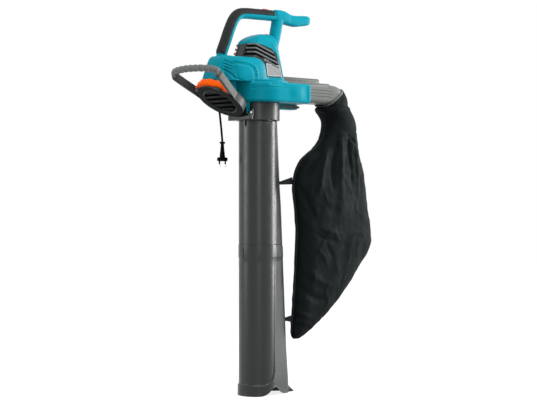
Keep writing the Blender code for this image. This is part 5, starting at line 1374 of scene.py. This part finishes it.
def make_collar(paints):
    """Collar round the tube's top, its hook bar and hooks, and the latch's catch at the back."""
    inlet = 0.0570
    bore = TUBE_R + 0.0006
    low = -COLLAR_LENGTH
    ring = revolve([(COLLAR_R - 0.0014, low), (COLLAR_R, low + 0.0014), (COLLAR_R, -0.0016),
                    (COLLAR_R - 0.0010, -GAP), (inlet, -GAP), (inlet, -0.0135), (bore, -0.0135), (bore, low)], 128)
    end = HOOK_Y + 0.006
    bar = rounded([(HOOK_X - 0.007, -end), (HOOK_X + 0.007, -end), (HOOK_X + 0.022, 0.014 - end),
                   (HOOK_X + 0.022, end - 0.014), (HOOK_X + 0.007, end), (HOOK_X - 0.007, end)], 0.004)
    bar = shaped(plate(bar, low, low + 0.014, 0.0014), [rod(TUBE_R + 0.002, -0.2, 0.1, 128)])
    near, far, half = COLLAR_R - 0.003, COLLAR_R + 0.0035, 0.010
    catch = plate(rounded([(near, -half), (far, -half), (far, half), (near, half)], 0.001, 4),
                  -0.0043, -0.0013, 0.0005)
    forms = [ring, bar, collar_hook(-1.0), collar_hook(1.0), catch]
    collar = piece("collar_moulding", joined(forms), paints["tube"], sharp=32.0)
    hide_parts("tube_collar")


# Outlet duct: its straight part, and each lane behind it by its near side, top, end and start

DUCT_START = 0.1286
DUCT_BEND = 0.212
DUCT_WALL = 0.003
DUCT_HALF_WIDTH = 0.0445
DUCT_LOW, DUCT_HIGH = 0.0015, 0.0605
GROOVES = ((0.0435, 0.226), (0.0340, 0.222), (0.0245, 0.216))
LANES = {"outlet_mid_lane": (-0.0124, 0.077, 0.300, 0.104), "outlet_far_lane": (0.0279, 0.095, 0.288, 0.1085)}


def duct_ring(angle, shrink, count=96):
    """A ring of the duct's elbow, from the straight end at 0 to its mouth at 90 degrees."""
    pivot_x, pivot_z = ELBOW_X - ELBOW_R - 0.003, ELBOW_END_Z
    share = angle / 90.0
    turn = math.radians(angle)
    inner = (DUCT_LOW - pivot_z) * (1.0 - share) + 0.003 * share + shrink
    start_reach = DUCT_HIGH - pivot_z
    outer = start_reach + (2.0 * ELBOW_R + 0.003 - start_reach) * math.sin(turn) ** 1.2 - shrink
    wide = DUCT_HALF_WIDTH * (1.0 - share) + ELBOW_R * share - shrink
    power = 3.6 * (1.0 - share) + 2.0 * share
    ring = []
    for a, b in oval((outer - inner) / 2, wide, power, count):
        reach = (outer + inner) / 2 + a
        ring.append((pivot_x + reach * math.sin(turn), ELBOW_Y + b, pivot_z + reach * math.cos(turn)))
    return ring


def duct_solid(shrink):
    """The duct's rings, straight part and elbow."""
    rings = []
    for k in range(7):
        x = DUCT_START + (DUCT_BEND - DUCT_START) * k / 7
        rings.append([(x, y, z) for _, y, z in duct_ring(0.0, shrink)])
    return rings + [duct_ring(90.0 * k / 28, shrink) for k in range(29)]


def line_on_duct(z, end):
    """A fine dark line along the near side of the duct, painted shade in an engraved groove."""
    route = []
    for x in np.linspace(0.1310, end, 26):
        swell = 0.0 if x < DUCT_BEND else (x - DUCT_BEND) * 0.02
        depth = DUCT_HALF_WIDTH * (1.0 - (abs(z - 0.031) / 0.0295) ** 3.6) ** (1 / 3.6)
        route.append((x, ELBOW_Y - depth - swell, z - max(0.0, x - 0.200) * 0.10))
    return bar_along(route, 0.0007, 0.0006)


def lane_solid(near, top, end, begin):
    """A closed lane with rounded upper edges and two fine ribs along its near side."""
    far = near + 0.040
    outline = [(near, 0.016), (far, 0.016)] + arc((far - 0.012, top - 0.012), 0.012, 0.0, 90.0, 13)
    outline += arc((near + 0.008, top - 0.008), 0.008, 90.0, 180.0, 9)
    levels = ((begin, 0.0), (end - 0.006, 0.0), (end - 0.0022, 0.0012), (end, 0.0050))
    forms = [rings_mesh([[(x, a, b) for a, b in shrunk(outline, inset)] for x, inset in levels])]
    for drop in (0.010, 0.018):
        route = [(x, near - 0.0001, top - drop) for x in np.linspace(begin + 0.03, end - 0.014, 8)]
        forms.append(bar_along(route, 0.0005, 0.0006))
    return joined(forms)


def make_outlet(paints):
    outer, inner = duct_solid(0.0), duct_solid(DUCT_WALL)
    duct = piece("outlet_duct_moulding", rings_mesh(outer + inner[::-1], looped=True), paints["grey"], sharp=32.0)
    # Dark lines laid on the duct stand for the shade in its engraved grooves: painted shade
    piece("duct_groove_shade", joined([line_on_duct(z, end) for z, end in GROOVES]), paints["dark"], sharp=40.0)
    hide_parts("outlet_duct")
    for name, sizes in LANES.items():
        # The lanes take a darker copy of the grey moulding: painted shade
        lane = piece(name + "_moulding", lane_solid(*sizes), paints["lane"], sharp=32.0)
        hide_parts(name)


# Bag: the hanging part's sections as height, middle and half depth along x, middle and half width

BAG_SECTIONS = (
    (-0.0068, 0.2640, 0.0558, -0.060, 0.0546), (-0.0180, 0.2665, 0.0575, -0.060, 0.0546),
    (-0.050, 0.2890, 0.0545, -0.059, 0.0515), (-0.092, 0.2916, 0.0615, -0.057, 0.0525),
    (-0.130, 0.2850, 0.0800, -0.054, 0.0540), (-0.158, 0.2720, 0.1070, -0.050, 0.0550),
    (-0.178, 0.2660, 0.1230, -0.047, 0.0560), (-0.212, 0.2646, 0.1405, -0.044, 0.0570),
    (-0.262, 0.2645, 0.1505, -0.042, 0.0580), (-0.330, 0.2755, 0.1513, -0.040, 0.0590),
    (-0.405, 0.2895, 0.1553, -0.037, 0.0590), (-0.462, 0.2878, 0.1545, -0.034, 0.0560),
    (-0.545, 0.2563, 0.1245, -0.030, 0.0500), (-0.640, 0.2122, 0.0840, -0.026, 0.0400),
    (-0.700, 0.1725, 0.0490, -0.023, 0.0290), (-0.734, 0.1495, 0.0270, -0.021, 0.0180),
    (-0.748, 0.1410, 0.0120, -0.020, 0.0070),
)
BAG_TOP_Z, BAG_TIP_Z = BAG_SECTIONS[0][0], BAG_SECTIONS[-1][0]
BAG_COLUMNS = 176
CLOTH = 0.0008
# The neck: its first and last angle round the elbow, its rows and how far it stands off the duct
NECK_START, NECK_END = 50.0, 86.0
NECK_ROWS = 20
NECK_GROW = 0.0032

# Folds on the near side, as places in the picture: points, width, height (valleys below zero)
NEAR_FOLDS = (
    (((322, 130), (318, 146), (312, 160), (306, 174)), 0.0085, 0.0075),
    (((325, 132), (321, 150), (315, 166), (308, 184)), 0.0060, -0.0080),
    (((330, 134), (325, 152), (321, 170), (319, 192)), 0.0085, 0.0070),
    (((335, 131), (334, 148), (331, 166), (332, 188)), 0.0060, -0.0085),
    (((338, 134), (338, 154), (339, 178), (341, 204)), 0.0080, 0.0060),
    (((344, 133), (346, 150), (349, 168), (351, 184)), 0.0055, -0.0070),
    (((349, 131), (353, 150), (356, 170), (358, 194)), 0.0075, 0.0055),
    (((345, 136), (351, 143), (355, 150)), 0.0040, -0.0045),
    (((299, 168), (304, 186), (311, 204), (318, 222)), 0.0090, -0.0050),
    (((296, 184), (303, 206), (313, 228)), 0.0090, 0.0045),
    (((318, 234), (326, 239), (335, 241)), 0.0070, -0.0026),
    (((322, 228), (332, 233), (341, 234)), 0.0080, 0.0024),
    (((328, 245), (332, 254), (336, 262)), 0.0070, -0.0028),
    (((320, 250), (326, 257), (330, 266)), 0.0075, 0.0026),
    (((321, 134), (317, 143), (313, 152), (308, 160)), 0.0050, -0.0060),
    (((318, 146), (312, 160), (306, 172), (302, 186)), 0.0075, 0.0050),
    (((337, 128), (342, 132), (349, 130)), 0.0045, -0.0040),
    (((313, 272), (324, 282), (338, 286)), 0.0100, 0.0040),
    (((306, 286), (318, 298), (330, 300)), 0.0090, -0.0040),
    (((300, 300), (308, 314), (318, 318)), 0.0070, 0.0035),
    (((296, 320), (303, 326), (311, 326)), 0.0055, -0.0030),
)

# Folds on the far side, in the same terms about the bag's own outline: points as (x, z)
FAR_FOLDS = (
    (((0.290, -0.112), (0.262, -0.165), (0.222, -0.235)), 0.0090, 0.0075),
    (((0.300, -0.115), (0.280, -0.180), (0.258, -0.270)), 0.0065, -0.0080),
    (((0.312, -0.112), (0.318, -0.180), (0.322, -0.260)), 0.0080, 0.0070),
    (((0.330, -0.120), (0.352, -0.180), (0.372, -0.250)), 0.0065, -0.0065),
    (((0.190, -0.330), (0.240, -0.372), (0.300, -0.380)), 0.0095, 0.0045),
    (((0.170, -0.420), (0.226, -0.470), (0.290, -0.486)), 0.0090, -0.0050),
    (((0.160, -0.560), (0.200, -0.610), (0.240, -0.620)), 0.0090, 0.0040),
)

# How strongly the cloth folds, ripples and sags, and the seam under its neck
FOLD_SCALE = 1.35
NEAR_SIDE_Y = -0.088
FLOW, RIPPLE, CREASE = 0.0042, 0.0012, 0.0022
SAG, SAG_Z, SAG_REACH = 0.0035, -0.34, 0.16
NECK_SEAM_Z, NECK_SEAM_TILT = -0.0930, 0.0150


def fold_height(x, z, folds):
    """Sum of ridges and valleys at a place, each fading out towards its ends."""
    total = 0.0
    for route, width, height in folds:
        best = None
        done = 0.0
        for (ax, az), (bx, bz), length in route:
            share = clamp(((x - ax) * (bx - ax) + (z - az) * (bz - az)) / (length * length))
            away = math.hypot(x - ax - share * (bx - ax), z - az - share * (bz - az))
            if best is None or away < best[0]:
                best = (away, done + share * length)
            done += length
        away, along = best
        if away < 3.0 * width:
            fade = max(math.sin(math.pi * clamp((along + 0.012) / (done + 0.024))), 0.0) ** 0.7
            total += height * fade * math.exp(-(away / width) ** 2)
    return total


def prepared(folds, near):
    """The folds as smooth routes in (x, z), cut into stretches with their lengths."""
    made = []
    for route, width, height in folds:
        points = [from_view(px, py, NEAR_SIDE_Y) for px, py in route] if near else route
        points = [tuple(p) for p in smooth_path(points, 4)]
        stretches = [(a, b, max(math.dist(a, b), 1e-6)) for a, b in zip(points, points[1:])]
        made.append((stretches, width, height))
    return made


def bag_rows():
    """The bag's sections, closely spaced."""
    return smooth_path(BAG_SECTIONS, 14)


def neck_rings():
    """The neck, drawn over the duct's elbow with a hem at its edge."""
    rings = []
    for k in range(NECK_ROWS):
        share = k / (NECK_ROWS - 1)
        angle = NECK_START + (NECK_END - NECK_START) * share
        hem = 0.0012 * between(angle, NECK_START - 3.0, NECK_START + 4.5, 1.5)
        ring = []
        for x, y, z in duct_ring(angle, -NECK_GROW - hem, BAG_COLUMNS):
            soft = 0.0014 * noise.noise(Vector((x * 55.0, y * 55.0, z * 30.0 + 7.0))) * min(share * 4.0, 1.0)
            out = Vector((x - ELBOW_X, y - ELBOW_Y, 0.0)).normalized()
            ring.append((x + out.x * soft, y + out.y * soft, max(z, -0.0050 + 0.0003 * (NECK_ROWS - 1 - k))))
        rings.append(ring)
    return rings


def bag_level(row, near, far):
    """One level of the hanging bag, with its folds, ripples, sag and the seam under its neck."""
    z, x, half_x, y, half_y = row
    below = clamp((-0.0700 - z) / 0.06)
    slack = below * clamp((z - BAG_TIP_Z) / 0.05)
    power = 2.0 + 0.3 * clamp((BAG_TOP_Z - z) / 0.05)
    ring = []
    for a, b in oval(half_x, half_y, power, BAG_COLUMNS):
        px, py = x + a, y + b
        face = min(abs(b) / half_y * 1.25, 1.0)
        lift = FOLD_SCALE * fold_height(px, z, near if b < 0 else far) * face
        flow = noise.noise(Vector((px * 26.0, b * 10.0 + 3.0, z * 9.0)))
        ripple = noise.noise(Vector((px * 60.0, b * 40.0, z * 44.0)))
        crease = 1.0 - abs(noise.noise(Vector((px * 17.0 + z * 9.0, b * 14.0, z * 15.0 - px * 12.0)))) * 5.0
        sag = -SAG * math.exp(-((z - SAG_Z) / SAG_REACH) ** 2) * face
        lift += (FLOW * flow + RIPPLE * ripple + CREASE * max(crease, 0.0)) * face + sag
        lift *= slack
        seam = NECK_SEAM_Z + NECK_SEAM_TILT * a / half_x
        lift += 0.0011 * clamp((z - seam) / 0.003) - 0.0016 * math.exp(-((z - seam) / 0.0020) ** 2)
        lift += 0.0014 * noise.noise(Vector((px * 40.0, py * 40.0, z * 26.0))) * (1.0 - below)
        out = Vector((a / half_x ** 2, b / half_y ** 2, 0.0)).normalized()
        ring.append((px + out.x * lift, py + out.y * lift, z))
    return ring


def make_bag(paints):
    """The cloth bag: its neck over the duct's elbow, the hanging part closed at its tip, and a thin cloth skin."""
    near, far = prepared(NEAR_FOLDS, True), prepared(FAR_FOLDS, False)
    rings = neck_rings() + [bag_level(row, near, far) for row in bag_rows()]
    mesh = rings_mesh(rings, ends=False)
    mesh.verts.ensure_lookup_table()
    mesh.faces.new(mesh.verts[-BAG_COLUMNS:])
    bag = piece("cloth_bag", mesh, paints["cloth"], sharp=180.0)
    skin = bag.modifiers.new("cloth", "SOLIDIFY")
    skin.thickness = CLOTH
    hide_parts("collection_bag")
    bag_seams(paints)
    make_bag_ring(paints)


def section_at(z):
    """The bag's section at a height, between two rows."""
    rows = bag_rows()
    for above, below in zip(rows, rows[1:]):
        if above[0] >= z >= below[0]:
            share = (above[0] - z) / (above[0] - below[0])
            return above[1:] * (1 - share) + below[1:] * share
    return rows[0][1:]


def bag_seams(paints):
    """Bound side seams down both edges of the bag."""
    made = []
    for name, side in (("bag_seam_front", -1.0), ("bag_seam_back", 1.0)):
        route = [(x + side * (half_x + 0.0004), y, z) for z, x, half_x, y, _ in bag_rows()[22:-10:3]]
        seam = sweep(route, lambda share: oval(0.0022, 0.0012, 2.4, 12), (0, 1, 0))
        made.append(piece(name, seam, paints["webbing"]))
    return made


def make_bag_ring(paints):
    """The ring under the elbow's mouth, and the wire bead in the bag's hem."""
    top = ELBOW_END_Z - GAP
    inner, rim = ELBOW_R - 0.004, ELBOW_R + 0.0045
    ring = revolve([(inner, top - 0.010), (rim, top - 0.010), (rim, top - 0.0030), (rim + 0.0012, top - 0.0022),
                    (rim + 0.0012, top - 0.0006), (rim - 0.0004, top), (inner, top)])
    angle = NECK_START - 1.2
    turn = math.radians(angle)
    bead = sweep(duct_ring(angle, -NECK_GROW + 0.0008), lambda share: oval(0.0018, 0.0024, 2.4, 14),
                 (math.cos(turn), 0.0, -math.sin(turn)), looped=True)
    hoop = piece("bag_hoop", joined([moved(ring, Matrix.Translation((ELBOW_X, ELBOW_Y, 0.0))), bead]), paints["grey"])
    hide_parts("bag_ring")


# Straps: the wire's reach, where across the bag the tab is sewn on, and how much it slants

STRAPS = {"upper": (0.012, -0.030, 0.0075), "lower": (0.006, -0.022, 0.0030)}
WEBBING = 0.0009


def wire_loop(start, reach, z):
    """The wire hook, a flat loop that widens in its middle."""
    half = 0.0060
    middle = start + reach * 0.5
    corners = [(start, -half), (start, half), (middle, half * 1.1), (start + reach, half * 0.75),
               (start + reach, -half * 0.75), (middle, -half * 1.1)]
    route = [(x, y, z) for x, y in rounded(corners, 0.0022, 6)]
    return sweep(route, lambda share: oval(WIRE_R, WIRE_R, 2.0, 16), (0, 0, 1), looped=True)


def tab_strip(near, far, slant):
    """Webbing folded round the wire at near, open where it is sewn to the bag at far."""
    way = (far - near).normalized()
    across = Vector((-way.y, way.x, 0.0))
    turn_r = WIRE_R + 0.0009
    outline = [far + across * 0.0016, near + way * 0.004 + across * 0.0018]
    for k in range(9):
        angle = math.pi / 2 + math.pi * k / 8
        outline.append(near + way * turn_r * math.cos(angle) + across * turn_r * math.sin(angle))
    outline += [near + way * 0.004 - across * 0.0018, far - across * 0.0016]
    length = (far - near).length
    rings = []
    for lift in np.linspace(-1.0, 1.0, 9):
        row = []
        for p in outline:
            share = clamp((p - near).dot(way) / length)
            row.append(p + Vector((0, 0, lift * (0.0050 + 0.0068 * share) + slant * (share - 0.6))))
        rings.append(row)
    strip = rings_mesh(rings, ends=False)
    for face in list(strip.faces):
        if all((v.co - far).length < 0.0170 and abs((v.co - far).dot(way)) < 0.0002 for v in face.verts):
            strip.faces.remove(face)
    return strip


def make_straps(paints):
    """Wire hooks in the tube's eyelets, and the webbing tabs that loop round them."""
    for level, (reach, strap_y, slant) in STRAPS.items():
        z = EYELETS[level]
        start = keel_back(z) + EYELET_OUT
        hook = piece("wire_hook_" + level, wire_loop(start, reach, z), paints["steel"], sharp=60.0)
        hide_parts("bag_hook_" + level)
        bag_x, half_x, bag_y, half_y = section_at(z)
        ratio = max(1.0 - (abs(strap_y - bag_y) / half_y) ** 2.3, 0.0) ** (1 / 2.3)
        far = Vector((bag_x - half_x * ratio, strap_y, z))
        near = Vector((start + reach + 0.0004, 0.0, z))
        tab = piece("bag_tab_" + level, tab_strip(near, far, slant), paints["webbing"], sharp=60.0)
        thick = tab.modifiers.new("webbing", "SOLIDIFY")
        thick.thickness = WEBBING
        thick.offset = 0.0
        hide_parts("bag_strap_" + level)


# Solids that keep their own shape

KEPT = {
    "grey": ("tube_latch",),
    "teal": ("motor_bulkhead",),
    "black": ("switch_module", "impeller", "cooling_fan", "brush_bridge"),
    "orange": ("speed_dial",),
    "red": ("power_switch",),
    "steel": ("shredder_knife", "impeller_nut", "motor_shaft", "lower_bearing", "upper_bearing", "hook_pin_left",
              "hook_pin_right", "latch_pin"),
    "copper": ("commutator",),
    "iron": ("armature", "stator", "brush_left", "brush_right"),
}


def dress_solids(paints):
    """Paint and soft edges for the solids that show as they are."""
    for key, names in KEPT.items():
        for name in names:
            node = nodes[name]
            node.data.materials.clear()
            node.data.materials.append(paints[key])
            node.data.shade_smooth()
            node.data.set_sharp_from_angle(angle=math.radians(34.0))
            edge = node.modifiers.new("soft_edge", "BEVEL")
            edge.width = 0.0004
            edge.segments = 2
            edge.limit_method = "ANGLE"
            edge.angle_limit = math.radians(50.0)


def main():
    make_camera()
    paints = make_materials()
    make_cord(paints)
    make_world()
    make_lights()
    make_floor()
    make_housing(paints)
    make_latch_guides(paints)
    make_vent_cover(paints)
    make_grip(paints)
    make_front_handle(paints)
    make_louvres(paints)
    make_lock_ring(paints)
    make_upper_tube(paints)
    make_lower_tube(paints)
    make_collar(paints)
    make_outlet(paints)
    make_bag(paints)
    make_straps(paints)
    dress_solids(paints)
    bpy.context.scene.view_settings.view_transform = "Standard"


main()
